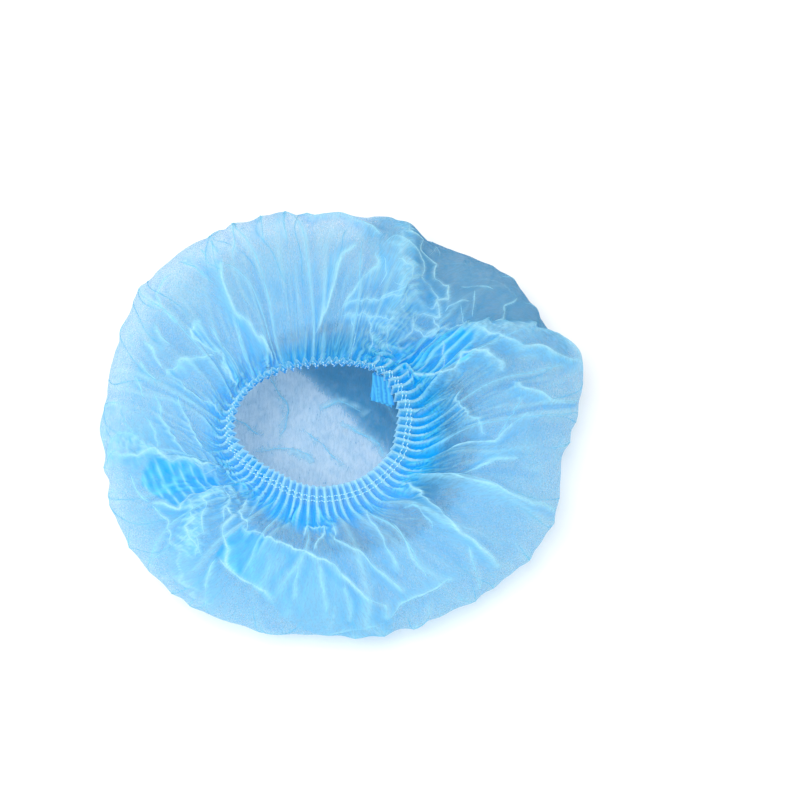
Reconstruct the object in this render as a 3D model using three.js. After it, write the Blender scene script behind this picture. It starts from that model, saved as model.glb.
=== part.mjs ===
// A disposable bouffant cap of thin nonwoven cloth, lying on its crown with the mouth up.
// Millimetres, +Z up. The origin is on the floor, under the middle of the puffed crown.
// One station number runs along the cloth from the crown's centre to the hem's free edge:
// 0 to 1 lies on the floor, 1 to 2 rises to the widest line, 2 to 3 curves over to the crest,
// 3 to 4 is the gathered collar that comes down to the stitching, 4 to 5 is the frilled hem.
import * as THREE from "three";

// The puffed crown
const CAP_RADIUS = 150;
const PUFF_HEIGHT = 67;
const BELLY_HEIGHT = 28;
const REST_RADIUS = 84;
const CREST_RADIUS = 106;
const CLOTH = 1;

// The mouth and its elasticated hem
const MOUTH_RADIUS = 51;
const MOUTH_OFFSET_X = -14;
const MOUTH_OFFSET_Y = -32;
const MOUTH_DROP = 13;
const MOUTH_HEIGHT = PUFF_HEIGHT - MOUTH_DROP;
const HEM_WIDTH = 11;
const SEAM_GAP = 0.4;
const COLLAR_HANDLE = 26;
const HEM_HANDLE = 17;

// Gathers, ruffles and ripples
const GATHERS = 64;
const GATHER_DEPTH = 1.7;
const FRILL_DEPTH = 2.3;
const UNEVEN_BROAD = 0.22;
const UNEVEN_FINE = 0.16;
const TUCK_DEPTH = 1.5;
const RIM_RIPPLE = 1.6;
const FLOOR_CREASE = 3;
const RIDGE_HEIGHT = 8;
const RIDGE_WIDTH = 15;
const RIDGE_BEND = 2.5;

// Elastic threads and end seals
const THREAD_RADIUS = 0.6;
const THREAD_CLEARANCE = 0.3;
const FIRST_THREAD = 1.8;
const SECOND_THREAD = 4.6;
const THREAD_SIDES = 5;
const SEAL_WIDTH = 12;
const SEAL_LENGTH = 24;
const SEAL_THICKNESS = 1.8;
const SEAL_SLOPE = 22;
const SEAL_CLEARANCE = 0.3;

// How finely the cloth is divided
const REST_RINGS = 3;
const LOWER_RINGS = 3;
const UPPER_RINGS = 5;
const COLLAR_RINGS = 5;
const HEM_RINGS = 2;
const ROUND = 2 * GATHERS;

// How many times further apart than CLOTH the two faces may be, where a gather is steep
const THICKEST = 2.2;

const DEGREE = Math.PI / 180;

// A row for each direction round the cap. reach, crest, mouth and lift are shares of CAP_RADIUS,
// PUFF_HEIGHT, MOUTH_RADIUS and MOUTH_HEIGHT. turn is how steeply the hem rises, in degrees.
const SECTIONS = [
  { azimuth: 0, reach: 0.98, crest: 0.99, mouth: 1.1, lift: 0.98, turn: 25 },
  { azimuth: 12, reach: 1.02, crest: 1.04, mouth: 1.15, lift: 0.98, turn: 25 },
  { azimuth: 20, reach: 0.97, crest: 1.02, mouth: 1.18, lift: 0.98, turn: 27 },
  { azimuth: 30, reach: 0.955, crest: 1.0, mouth: 1.2, lift: 0.98, turn: 31 },
  { azimuth: 45, reach: 0.97, crest: 1.0, mouth: 1.22, lift: 1.0, turn: 40 },
  { azimuth: 70, reach: 0.92, crest: 1.0, mouth: 1.06, lift: 0.98, turn: 70 },
  { azimuth: 95, reach: 0.97, crest: 1.0, mouth: 1.0, lift: 0.95, turn: 80 },
  { azimuth: 120, reach: 1.06, crest: 1.0, mouth: 1.04, lift: 0.95, turn: 75 },
  { azimuth: 146, reach: 1.06, crest: 0.96, mouth: 1.1, lift: 0.97, turn: 65 },
  { azimuth: 180, reach: 0.99, crest: 0.98, mouth: 1.1, lift: 0.98, turn: 60 },
  { azimuth: 210, reach: 1.04, crest: 0.98, mouth: 0.95, lift: 1.0, turn: 50 },
  { azimuth: 236, reach: 1.04, crest: 0.96, mouth: 0.88, lift: 1.06, turn: 50 },
  { azimuth: 262, reach: 1.0, crest: 0.92, mouth: 0.92, lift: 1.06, turn: 45 },
  { azimuth: 290, reach: 1.0, crest: 0.94, mouth: 0.94, lift: 1.02, turn: 35 },
  { azimuth: 312, reach: 1.0, crest: 0.98, mouth: 0.98, lift: 0.99, turn: 30 },
  { azimuth: 330, reach: 0.985, crest: 1.0, mouth: 1.02, lift: 0.98, turn: 30 },
  { azimuth: 347, reach: 0.935, crest: 0.98, mouth: 1.08, lift: 0.98, turn: 28 },
];

// The two places where the pleated ends are sealed. Near each the puff sinks in a valley between
// two ridges. azimuth and halfWidth are in degrees at the rim, and bend is how much further round
// the valley reaches the hem. depth and ridge are shares of the crest's height and of
// RIDGE_HEIGHT. seal is the azimuth of the pressed end.
const VALLEYS = [
  { azimuth: 45, halfWidth: 34, bend: 3, depth: 0.36, ridge: 1, seal: 56 },
  { azimuth: 213, halfWidth: 25, bend: -2, depth: 0.16, ridge: 0.8, seal: 211 },
];

// Broad folds that radiate from the mouth. width is in degrees, height in shares of PUFF_HEIGHT,
// and start and end are stations.
const FOLDS = [
  { azimuth: 357, width: 8, height: 0.08, start: 2.3, end: 4.0 },
  { azimuth: 92, width: 6, height: 0.07, start: 2.0, end: 3.9 },
  { azimuth: 108, width: 6, height: 0.07, start: 1.9, end: 3.8 },
  { azimuth: 124, width: 7, height: 0.1, start: 2.3, end: 4.0 },
  { azimuth: 145, width: 8, height: 0.11, start: 2.6, end: 4.0 },
  { azimuth: 160, width: 6, height: 0.08, start: 2.2, end: 3.9 },
  { azimuth: 173, width: 6, height: 0.08, start: 2.1, end: 3.9 },
  { azimuth: 252, width: 7, height: 0.08, start: 2.1, end: 3.7 },
  { azimuth: 267, width: 8, height: 0.06, start: 2.2, end: 3.5 },
  { azimuth: 281, width: 6, height: 0.1, start: 2.8, end: 4.0 },
  { azimuth: 296, width: 7, height: 0.09, start: 2.1, end: 4.0 },
  { azimuth: 311, width: 6, height: 0.08, start: 2.0, end: 4.0 },
  { azimuth: 327, width: 6, height: 0.1, start: 2.1, end: 4.0 },
  { azimuth: 342, width: 6, height: 0.08, start: 2.2, end: 4.0 },
];

// Creases in the part of the crown that lies on the floor: straight lines square to the azimuth.
// distance from the centre and width are shares of REST_RADIUS.
const FLOOR_CREASES = [
  { azimuth: 62, distance: 0.46, width: 0.11 },
  { azimuth: 150, distance: 0.54, width: 0.1 },
  { azimuth: 235, distance: 0.44, width: 0.12 },
  { azimuth: 320, distance: 0.58, width: 0.11 },
];

const clamp01 = (value) => Math.min(1, Math.max(0, value));
const rise = (from, to, value) => {
  const share = clamp01((value - from) / (to - from));
  return share * share * (3 - 2 * share);
};
const tent = (distance, width) => Math.max(0, 1 - Math.abs(distance) / width);
const bell = (distance, width) => 1 - rise(0, width, Math.abs(distance));

// The signed angle from b to a, in degrees, between -180 and 180.
function angleBetween(a, b) {
  return ((((a - b) % 360) + 540) % 360) - 180;
}

// One column of SECTIONS at any azimuth, by a smooth curve through the rows.
function sectionValue(column, azimuth) {
  const turned = ((azimuth % 360) + 360) % 360;
  const count = SECTIONS.length;
  let i = count - 1;
  while (SECTIONS[i].azimuth > turned) i -= 1;
  const row = (k) => SECTIONS[(i + k + count) % count][column];
  const from = SECTIONS[i].azimuth;
  const to = i + 1 < count ? SECTIONS[i + 1].azimuth : 360;
  const t = (turned - from) / (to - from);
  const slopeA = (row(1) - row(-1)) / 2;
  const slopeB = (row(2) - row(0)) / 2;
  return (
    row(0) * (2 * t ** 3 - 3 * t ** 2 + 1) +
    slopeA * (t ** 3 - 2 * t ** 2 + t) +
    row(1) * (3 * t ** 2 - 2 * t ** 3) +
    slopeB * (t ** 3 - t ** 2)
  );
}

// The valleys fan out from a seal to the rim, and bend a little towards the seal.
function valleyWidth(valley, station) {
  return valley.halfWidth * (1 - 0.72 * rise(2, 3.5, station));
}

function valleyOffset(azimuth, valley, station) {
  const middle = valley.azimuth + valley.bend * rise(2.2, 3.3, station);
  return angleBetween(azimuth, middle);
}

function valleyShare(azimuth, station) {
  return VALLEYS.reduce((sunk, valley) => {
    const off = Math.abs(valleyOffset(azimuth, valley, station)) / valleyWidth(valley, station);
    return sunk + valley.depth * (1 - rise(0.3, 1.15, off));
  }, 0);
}

// Radius and height of the smooth cloth at an azimuth and station, before folds and gathers.
function baseline(azimuth, station) {
  const floor = CLOTH / 2;
  if (station <= 1) return { r: REST_RADIUS * station, z: floor };
  const reach = CAP_RADIUS * sectionValue("reach", azimuth);
  if (station <= 2) {
    const a = ((station - 1) * Math.PI) / 2;
    return {
      r: REST_RADIUS + (reach - REST_RADIUS) * Math.sin(a),
      z: floor + (BELLY_HEIGHT - floor) * (1 - Math.cos(a)),
    };
  }
  const crest = PUFF_HEIGHT * sectionValue("crest", azimuth) * (1 - valleyShare(azimuth, station));
  if (station <= 3) {
    const a = ((station - 2) * Math.PI) / 2;
    return {
      r: CREST_RADIUS + (reach - CREST_RADIUS) * Math.cos(a),
      z: BELLY_HEIGHT + (crest - BELLY_HEIGHT) * Math.sin(a),
    };
  }
  const mouth = MOUTH_RADIUS * sectionValue("mouth", azimuth);
  const lift = MOUTH_HEIGHT * sectionValue("lift", azimuth);
  const turn = sectionValue("turn", azimuth) * DEGREE;
  const along = { r: -Math.cos(turn), z: Math.sin(turn) };
  if (station >= 4) {
    const out = (station - 4) * HEM_WIDTH;
    return { r: mouth + along.r * out, z: lift + along.z * out };
  }
  const t = station - 3;
  const w = [(1 - t) ** 3, 3 * t * (1 - t) ** 2, 3 * t ** 2 * (1 - t), t ** 3];
  const r = [CREST_RADIUS, CREST_RADIUS - COLLAR_HANDLE, mouth - along.r * HEM_HANDLE, mouth];
  const z = [crest, crest, lift - along.z * HEM_HANDLE, lift];
  return {
    r: w.reduce((sum, weight, i) => sum + weight * r[i], 0),
    z: w.reduce((sum, weight, i) => sum + weight * z[i], 0),
  };
}

// The smooth cloth in space. The centre line leans from the crown's middle to the mouth's.
function smoothPoint(azimuth, station) {
  const { r, z } = baseline(azimuth, station);
  const lean = rise(2, 4, station);
  return new THREE.Vector3(
    MOUTH_OFFSET_X * lean + r * Math.cos(azimuth * DEGREE),
    MOUTH_OFFSET_Y * lean + r * Math.sin(azimuth * DEGREE),
    z,
  );
}

// The outward direction of the smooth cloth, in the plane of its section.
function outward(azimuth, station) {
  const step = 0.04;
  const low = baseline(azimuth, station - step);
  const high = baseline(azimuth, station + step);
  const length = Math.hypot(high.r - low.r, high.z - low.z);
  const r = (high.z - low.z) / length;
  const z = -(high.r - low.r) / length;
  return new THREE.Vector3(r * Math.cos(azimuth * DEGREE), r * Math.sin(azimuth * DEGREE), z);
}

function unevenness(azimuth) {
  const turned = azimuth * DEGREE;
  return 1 + UNEVEN_BROAD * Math.sin(3 * turned + 1) + UNEVEN_FINE * Math.sin(7 * turned);
}

// The gathers of the stitched hem, deeper at the frill's free edge and a little uneven.
function gatherHeight(azimuth, station) {
  const depth = GATHER_DEPTH * rise(3.2, 3.9, station) + (FRILL_DEPTH - GATHER_DEPTH) * rise(4.3, 5, station);
  return depth * unevenness(azimuth) * Math.cos(GATHERS * azimuth * DEGREE);
}

// Halfway down the collar the gathers have joined in pairs.
function tuckHeight(azimuth, station) {
  const strength = rise(2.8, 3.4, station) * (1 - rise(3.7, 4, station));
  return TUCK_DEPTH * strength * Math.cos((GATHERS / 2) * azimuth * DEGREE + 1);
}

function foldHeight(azimuth, station) {
  return FOLDS.reduce((sum, fold) => {
    const middle = (fold.start + fold.end) / 2;
    const along = tent(station - middle, (fold.end - fold.start) / 2);
    const width = fold.width * (1.4 - 0.4 * along);
    const across = tent(angleBetween(azimuth, fold.azimuth), width);
    return sum + PUFF_HEIGHT * fold.height * Math.sqrt(along) * across;
  }, 0);
}

// Each side of a valley is a ruffled ridge, which bends a little on its way out.
function ridgeHeight(azimuth, station) {
  const strength = rise(2.05, 2.5, station) * (1 - rise(3.7, 4, station));
  const bend = RIDGE_BEND * Math.sin(3 * Math.PI * station);
  return VALLEYS.reduce((sum, valley) => {
    const off = Math.abs(valleyOffset(azimuth, valley, station)) - valleyWidth(valley, station);
    return sum + RIDGE_HEIGHT * valley.ridge * strength * bell(off - bend, RIDGE_WIDTH);
  }, 0);
}

function rimRipple(azimuth, station) {
  const strength = rise(1.3, 1.9, station) * (1 - rise(2.4, 3, station));
  const turned = azimuth * DEGREE;
  return RIM_RIPPLE * strength * (Math.sin(19 * turned) + 0.6 * Math.sin(31 * turned + 2));
}

// Creases only lift the cloth off the floor, and its middle lies flat.
function floorCrease(azimuth, station) {
  const strength = rise(0.35, 0.6, station) * (1 - rise(1, 1.6, station));
  return FLOOR_CREASES.reduce((sum, crease) => {
    const across = Math.min(station, 1) * Math.cos(angleBetween(azimuth, crease.azimuth) * DEGREE);
    return sum - FLOOR_CREASE * strength * tent(across - crease.distance, crease.width);
  }, 0);
}

function relief(azimuth, station) {
  return (
    gatherHeight(azimuth, station) +
    tuckHeight(azimuth, station) +
    foldHeight(azimuth, station) +
    ridgeHeight(azimuth, station) +
    rimRipple(azimuth, station) +
    floorCrease(azimuth, station)
  );
}

function middlePoint(azimuth, station) {
  return smoothPoint(azimuth, station).addScaledVector(outward(azimuth, station), relief(azimuth, station));
}

// Points on both faces of the cloth, in a ring of count points. The wall of a steep gather keeps
// its thickness, because the faces move further apart there.
function clothFaces(azimuth, station, count) {
  const turn = 180 / GATHERS;
  const reach = 0.12;
  const round = middlePoint(azimuth + turn, station).sub(middlePoint(azimuth - turn, station));
  const along = middlePoint(azimuth, Math.min(5, station + reach)).sub(middlePoint(azimuth, station - reach));
  const normal = round.cross(along).normalize();
  const here = relief(azimuth, station);
  const spacing = (baseline(azimuth, station).r * 2 * Math.PI) / count;
  const climbs = [-1, 1].map((side) => relief(azimuth + (side * 360) / count, station) - here);
  const climb = Math.max(...climbs.map(Math.abs)) / spacing;
  const half = (CLOTH / 2) * Math.min(THICKEST, Math.hypot(1, climb));
  const middle = middlePoint(azimuth, station);
  return {
    outer: middle.clone().addScaledVector(normal, half),
    inner: middle.clone().addScaledVector(normal, -half),
  };
}

// Collects triangles between rings of points. Rings hold the same number of points, or one holds
// twice as many as the other.
class Skin {
  constructor() {
    this.places = [];
    this.faces = [];
  }

  ring(points) {
    const first = this.places.length / 3;
    points.forEach((point) => this.places.push(point.x, point.y, point.z));
    return points.map((_, i) => first + i);
  }

  face(a, b, c, flip) {
    this.faces.push(...(flip ? [a, c, b] : [a, b, c]));
  }

  bridge(from, to, flip = false) {
    if (from.length === 1) {
      to.forEach((point, i) => this.face(from[0], point, to[(i + 1) % to.length], flip));
      return;
    }
    const split = to.length / from.length;
    from.forEach((point, i) => {
      const next = from[(i + 1) % from.length];
      const ends = Array.from({ length: split + 1 }, (_, k) => to[(split * i + k) % to.length]);
      this.face(point, ends[0], ends[1], flip);
      this.face(point, ends[1], next, flip);
      if (split === 2) this.face(next, ends[1], ends[2], flip);
    });
  }

  geometry() {
    const made = new THREE.BufferGeometry();
    made.setAttribute("position", new THREE.Float32BufferAttribute(this.places, 3));
    made.setIndex(this.faces);
    return made;
  }
}

// One ring of the cloth on both faces. offset is in points.
function clothRing(skin, station, count, offset = 0) {
  const faces = Array.from({ length: count }, (_, i) => clothFaces(((i + offset) * 360) / count, station, count));
  return { outer: skin.ring(faces.map((face) => face.outer)), inner: skin.ring(faces.map((face) => face.inner)) };
}

// Evenly spaced stations from start to start + 1, without the first.
const zone = (start, rings) => Array.from({ length: rings }, (_, i) => start + (i + 1) / rings);

// How many points a ring holds: fewer where the cloth is smooth and near the centre.
function ringCount(station) {
  if (station <= 0.5) return ROUND / 4;
  if (station <= 1.2) return ROUND / 2;
  return ROUND;
}

function crownGeometry() {
  const skin = new Skin();
  const seam = 4 - SEAM_GAP / HEM_WIDTH;
  const stations = [...zone(0, REST_RINGS), ...zone(1, LOWER_RINGS), ...zone(2, UPPER_RINGS), ...zone(3, COLLAR_RINGS)];
  let last = {
    outer: skin.ring([new THREE.Vector3(0, 0, 0)]),
    inner: skin.ring([new THREE.Vector3(0, 0, CLOTH)]),
  };
  stations.forEach((station) => {
    const next = clothRing(skin, Math.min(station, seam), ringCount(station));
    skin.bridge(last.outer, next.outer, true);
    skin.bridge(last.inner, next.inner, false);
    last = next;
  });
  skin.bridge(last.outer, last.inner, true);
  return skin.geometry();
}

function hemGeometry() {
  const skin = new Skin();
  const rings = [4, ...zone(4, HEM_RINGS)].map((station) => clothRing(skin, station, 2 * ROUND, 0.5));
  rings.slice(1).forEach((ring, i) => {
    skin.bridge(rings[i].outer, ring.outer, true);
    skin.bridge(rings[i].inner, ring.inner, false);
  });
  skin.bridge(rings[0].inner, rings[0].outer, true);
  skin.bridge(rings.at(-1).outer, rings.at(-1).inner, true);
  return skin.geometry();
}

// A thread lies on the outer crests of the gathers, at a distance from the seam.
function threadGeometry(distance) {
  const station = 4 + distance / HEM_WIDTH;
  const skin = new Skin();
  const halfSample = 90 / ROUND;
  const centre = Array.from({ length: GATHERS }, (_, i) => {
    const azimuth = (i * 360) / GATHERS;
    const { outer } = clothFaces(azimuth + halfSample, station, 2 * ROUND);
    return outer.addScaledVector(outward(azimuth, station), THREAD_CLEARANCE + THREAD_RADIUS);
  });
  const sections = centre.map((point, i) => {
    const along = centre[(i + 1) % GATHERS].clone().sub(centre[(i + GATHERS - 1) % GATHERS]).normalize();
    const up = outward((i * 360) / GATHERS, station);
    up.addScaledVector(along, -up.dot(along)).normalize();
    const side = new THREE.Vector3().crossVectors(along, up);
    const corners = Array.from({ length: THREAD_SIDES }, (_, k) => {
      const angle = (k * 2 * Math.PI) / THREAD_SIDES;
      return point
        .clone()
        .addScaledVector(up, THREAD_RADIUS * Math.cos(angle))
        .addScaledVector(side, THREAD_RADIUS * Math.sin(angle));
    });
    return skin.ring(corners);
  });
  sections.forEach((section, i) => skin.bridge(section, sections[(i + 1) % GATHERS], true));
  return skin.geometry();
}

// The pressed end of the pleats: a plate that slopes down into the cap from under the root of the
// hem, clear of the deepest gather there.
function addSeal(group, name, azimuth, material) {
  const deepest = GATHER_DEPTH * unevenness(azimuth) + (CLOTH / 2) * THICKEST;
  const bow = SEAL_WIDTH ** 2 / (8 * MOUTH_RADIUS * sectionValue("mouth", azimuth));
  const root = smoothPoint(azimuth, 4).addScaledVector(outward(azimuth, 4), -deepest - bow);
  const slope = SEAL_SLOPE * DEGREE;
  const plate = new THREE.Mesh(new THREE.BoxGeometry(SEAL_THICKNESS, SEAL_WIDTH, SEAL_LENGTH), material);
  plate.name = name;
  const holder = new THREE.Group();
  holder.position.copy(root);
  holder.rotation.set(0, 0, azimuth * DEGREE);
  plate.rotation.set(0, slope, 0);
  const down = SEAL_LENGTH / 2 + SEAL_CLEARANCE;
  plate.position.set(-Math.sin(slope) * down, 0, -Math.cos(slope) * down);
  holder.add(plate);
  group.add(holder);
}

function addPiece(group, name, geometry, material) {
  const mesh = new THREE.Mesh(geometry, material);
  mesh.name = name;
  group.add(mesh);
}

const clothMaterial = new THREE.MeshStandardMaterial({ color: 0x9fd4f2, roughness: 0.85, metalness: 0 });
const hemMaterial = new THREE.MeshStandardMaterial({ color: 0x6cc8f6, roughness: 0.85, metalness: 0 });
const threadMaterial = new THREE.MeshStandardMaterial({ color: 0xd6f3fc, roughness: 0.7, metalness: 0 });
const sealMaterial = new THREE.MeshStandardMaterial({ color: 0x49b6f5, roughness: 0.5, metalness: 0 });

const cap = new THREE.Group();
addPiece(cap, "crown", crownGeometry(), clothMaterial);
addPiece(cap, "hem_frill", hemGeometry(), hemMaterial);
addPiece(cap, "elastic_outer", threadGeometry(FIRST_THREAD), threadMaterial);
addPiece(cap, "elastic_inner", threadGeometry(SECOND_THREAD), threadMaterial);
addSeal(cap, "end_seal_back", VALLEYS[0].seal, sealMaterial);
addSeal(cap, "end_seal_front", VALLEYS[1].seal, sealMaterial);

// The origin comes under the middle of the outline.
const middle = new THREE.Box3().setFromObject(cap).getCenter(new THREE.Vector3());
cap.position.set(-middle.x, -middle.y, 0);

export default cap;
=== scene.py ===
import math

import bpy
import numpy as np
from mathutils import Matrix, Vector


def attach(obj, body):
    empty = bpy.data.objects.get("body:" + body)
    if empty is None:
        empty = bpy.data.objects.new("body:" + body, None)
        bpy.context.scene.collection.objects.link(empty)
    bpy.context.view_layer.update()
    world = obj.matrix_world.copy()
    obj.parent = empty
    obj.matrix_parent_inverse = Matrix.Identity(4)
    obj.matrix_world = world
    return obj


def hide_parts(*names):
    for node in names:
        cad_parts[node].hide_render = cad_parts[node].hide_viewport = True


MM = 0.001
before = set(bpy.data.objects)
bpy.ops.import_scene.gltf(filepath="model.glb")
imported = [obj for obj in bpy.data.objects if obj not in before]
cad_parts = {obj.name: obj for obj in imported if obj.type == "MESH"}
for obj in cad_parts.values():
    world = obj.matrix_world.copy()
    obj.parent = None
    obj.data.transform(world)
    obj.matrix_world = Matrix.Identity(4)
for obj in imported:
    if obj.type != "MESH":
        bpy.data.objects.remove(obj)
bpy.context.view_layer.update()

# The picture
VIEW_ELEVATION = 60
VIEW_DISTANCE = 1.0
VIEW_WIDTH = 0.504
SENSOR = 36
AIM = Vector((0.0351, 0.007, 0.033))

scene = bpy.context.scene
scene.view_settings.view_transform = "Standard"
scene.cycles.transparent_max_bounces = 40
scene.cycles.max_bounces = 10


def add_camera():
    elevation = math.radians(VIEW_ELEVATION)
    back = Vector((0, -math.cos(elevation), math.sin(elevation)))
    data = bpy.data.cameras.new("camera")
    data.sensor_width = SENSOR
    data.lens = SENSOR * VIEW_DISTANCE / VIEW_WIDTH
    data.clip_start = 0.01
    camera = bpy.data.objects.new("camera", data)
    camera.location = AIM + back * VIEW_DISTANCE
    camera.rotation_mode = "QUATERNION"
    camera.rotation_quaternion = (-back).to_track_quat("-Z", "Y")
    scene.collection.objects.link(camera)
    scene.camera = camera


# Node materials
class Nodes:
    """Makes the nodes of one material, with plain numbers set on their sockets."""

    def __init__(self, name):
        self.material = bpy.data.materials.new(name)
        self.material.use_nodes = True
        self.tree = self.material.node_tree
        self.tree.nodes.clear()

    def add(self, kind, inputs=None, **settings):
        node = self.tree.nodes.new(kind)
        for key, value in settings.items():
            setattr(node, key, value)
        for key, value in (inputs or {}).items():
            self.put(node.inputs[key], value)
        return node

    def put(self, socket, value):
        if isinstance(value, bpy.types.NodeSocket):
            self.tree.links.new(value, socket)
        elif isinstance(value, bpy.types.Node):
            self.tree.links.new(value.outputs[0], socket)
        else:
            socket.default_value = value

    def math(self, operation, a, b=0.0, clamp=False):
        return self.add("ShaderNodeMath", {0: a, 1: b}, operation=operation, use_clamp=clamp)

    def painted(self, name):
        return self.add("ShaderNodeAttribute", attribute_name=name).outputs["Fac"]

    def remap(self, value, low, high, new_low=0.0, new_high=1.0):
        limits = {"From Min": low, "From Max": high, "To Min": new_low, "To Max": new_high}
        return self.add("ShaderNodeMapRange", {"Value": value, **limits})

    def fibres(self, place, turn, stretch, scale, roughness, distortion):
        """Noise that is stretched into threads in one direction."""
        inputs = {"Vector": place, "Rotation": (0, 0, turn), "Scale": (1, stretch, 1)}
        along = self.add("ShaderNodeMapping", inputs)
        inputs = {"Vector": along, "Scale": scale, "Detail": 3.0}
        inputs |= {"Roughness": roughness, "Distortion": distortion}
        return self.add("ShaderNodeTexNoise", inputs)

    def mix(self, share, a, b):
        node = self.add("ShaderNodeMix", data_type="RGBA")
        self.put(node.inputs[0], share)
        self.put(node.inputs[6], a)
        self.put(node.inputs[7], b)
        return node.outputs[2]

    def finish(self, shader):
        output = self.add("ShaderNodeOutputMaterial")
        self.tree.links.new(shader.outputs[0], output.inputs["Surface"])
        return self.material


# Light and floor
FLOOR_HALF = 12.0
FLOOR_WHITE = (0.93, 0.93, 0.93, 1)
WORLD_STRENGTH = 0.8
LAMP_POWER = 16.5
LAMP_SIZE = 0.9
LAMP_PLACE = Vector((-0.34, -0.46, 1.48))


def add_floor():
    nodes = Nodes("floor_white")
    surface = nodes.add("ShaderNodeBsdfDiffuse", {"Color": FLOOR_WHITE})
    mesh = bpy.data.meshes.new("floor")
    signs = [(-1, -1), (1, -1), (1, 1), (-1, 1)]
    corners = [(FLOOR_HALF * x, FLOOR_HALF * y, 0) for x, y in signs]
    mesh.from_pydata(corners, [], [(0, 1, 2, 3)])
    mesh.materials.append(nodes.finish(surface))
    floor = bpy.data.objects.new("floor", mesh)
    scene.collection.objects.link(floor)


def add_light():
    """A white world all round, and one large soft lamp above the front left."""
    world = bpy.data.worlds.new("studio")
    scene.world = world
    world.use_nodes = True
    backdrop = world.node_tree.nodes["Background"]
    backdrop.inputs["Color"].default_value = (1, 1, 1, 1)
    backdrop.inputs["Strength"].default_value = WORLD_STRENGTH
    data = bpy.data.lights.new("softbox", "AREA")
    data.energy = LAMP_POWER
    data.size = LAMP_SIZE
    lamp = bpy.data.objects.new("softbox", data)
    lamp.location = LAMP_PLACE
    lamp.rotation_mode = "QUATERNION"
    lamp.rotation_quaternion = (-LAMP_PLACE).to_track_quat("-Z", "Y")
    scene.collection.objects.link(lamp)


add_camera()
add_floor()
add_light()


# The puffed cap, in the same form as the solids. One station number runs along the cloth:
# 0 to 1 lies on the floor, 1 to 2 rises to the widest line, 2 to 3 curves over to the crest,
# 3 to 4 is the gathered collar that comes down to the stitching, 4 to 5 is the frilled hem.
ORIGIN = (-0.21, 1.75)
CAP_RADIUS = 150
PUFF_HEIGHT = 67
BELLY_HEIGHT = 28
REST_RADIUS = 84
CREST_RADIUS = 106
FLOOR_GAP = 0.5
MOUTH_RADIUS = 51
MOUTH_OFFSET = (-14.0, -32.0)
MOUTH_HEIGHT = 54
HEM_WIDTH = 11
COLLAR_HANDLE = 26
HEM_HANDLE = 17
GATHERS = 64
RIDGE_HEIGHT = 8
RIDGE_WIDTH = 15
RIDGE_BEND = 2.5
# How far the cloth runs from its middle to each station, on the puffed form and cut flat
STATIONS = [0, 1, 2, 3, 4, 5]
PUFFED_LENGTHS = [0, 84, 160, 225, 283, 294]
FLAT_LENGTHS = [0, 76, 142, 200, 255, 265]

# azimuth, reach, crest, mouth, lift and turn, as shares of the sizes above; turn is in degrees.
SECTIONS = np.array(
    [
        (0, 0.98, 0.99, 1.1, 0.98, 25),
        (12, 1.02, 1.04, 1.15, 0.98, 25),
        (20, 0.97, 1.02, 1.18, 0.98, 27),
        (30, 0.955, 1.0, 1.2, 0.98, 31),
        (45, 0.97, 1.0, 1.22, 1.0, 40),
        (70, 0.92, 1.0, 1.06, 0.98, 70),
        (95, 0.97, 1.0, 1.0, 0.95, 80),
        (120, 1.06, 1.0, 1.04, 0.95, 75),
        (146, 1.06, 0.96, 1.1, 0.97, 65),
        (180, 0.99, 0.98, 1.1, 0.98, 60),
        (210, 1.04, 0.98, 0.95, 1.0, 50),
        (236, 1.04, 0.96, 0.88, 1.06, 50),
        (262, 1.0, 0.92, 0.92, 1.06, 45),
        (290, 1.0, 0.94, 0.94, 1.02, 35),
        (312, 1.0, 0.98, 0.98, 0.99, 30),
        (330, 0.985, 1.0, 1.02, 0.98, 30),
        (347, 0.935, 0.98, 1.08, 0.98, 28),
    ]
)
REACH, CREST, MOUTH, LIFT, TURN = 1, 2, 3, 4, 5

# The valleys that fan out from the two seals: azimuth and half width at the rim, how much further
# round the seal is, and depth and ridge height as shares.
VALLEYS = [(45, 34, 3, 0.36, 1.0), (213, 25, -2, 0.16, 0.8)]

# Broad folds: azimuth, width in degrees, height as a share of the puff's, first and last station.
FOLDS = [
    (357, 8, 0.08, 2.3, 4.0),
    (92, 6, 0.07, 2.0, 3.9),
    (108, 6, 0.07, 1.9, 3.8),
    (124, 7, 0.1, 2.3, 4.0),
    (145, 8, 0.11, 2.6, 4.0),
    (160, 6, 0.08, 2.2, 3.9),
    (173, 6, 0.08, 2.1, 3.9),
    (252, 7, 0.08, 2.1, 3.7),
    (267, 8, 0.06, 2.2, 3.5),
    (281, 6, 0.1, 2.8, 4.0),
    (296, 7, 0.09, 2.1, 4.0),
    (311, 6, 0.08, 2.0, 4.0),
    (327, 6, 0.1, 2.1, 4.0),
    (342, 6, 0.08, 2.2, 4.0),
]


def rise(low, high, value):
    share = np.clip((value - low) / (high - low), 0, 1)
    return share * share * (3 - 2 * share)


def tent(distance, width):
    return np.clip(1 - np.abs(distance) / width, 0, None)


def bell(distance, width):
    return 1 - rise(0, width, np.abs(distance))


def angle_between(a, b):
    return (a - b + 540) % 360 - 180


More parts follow.
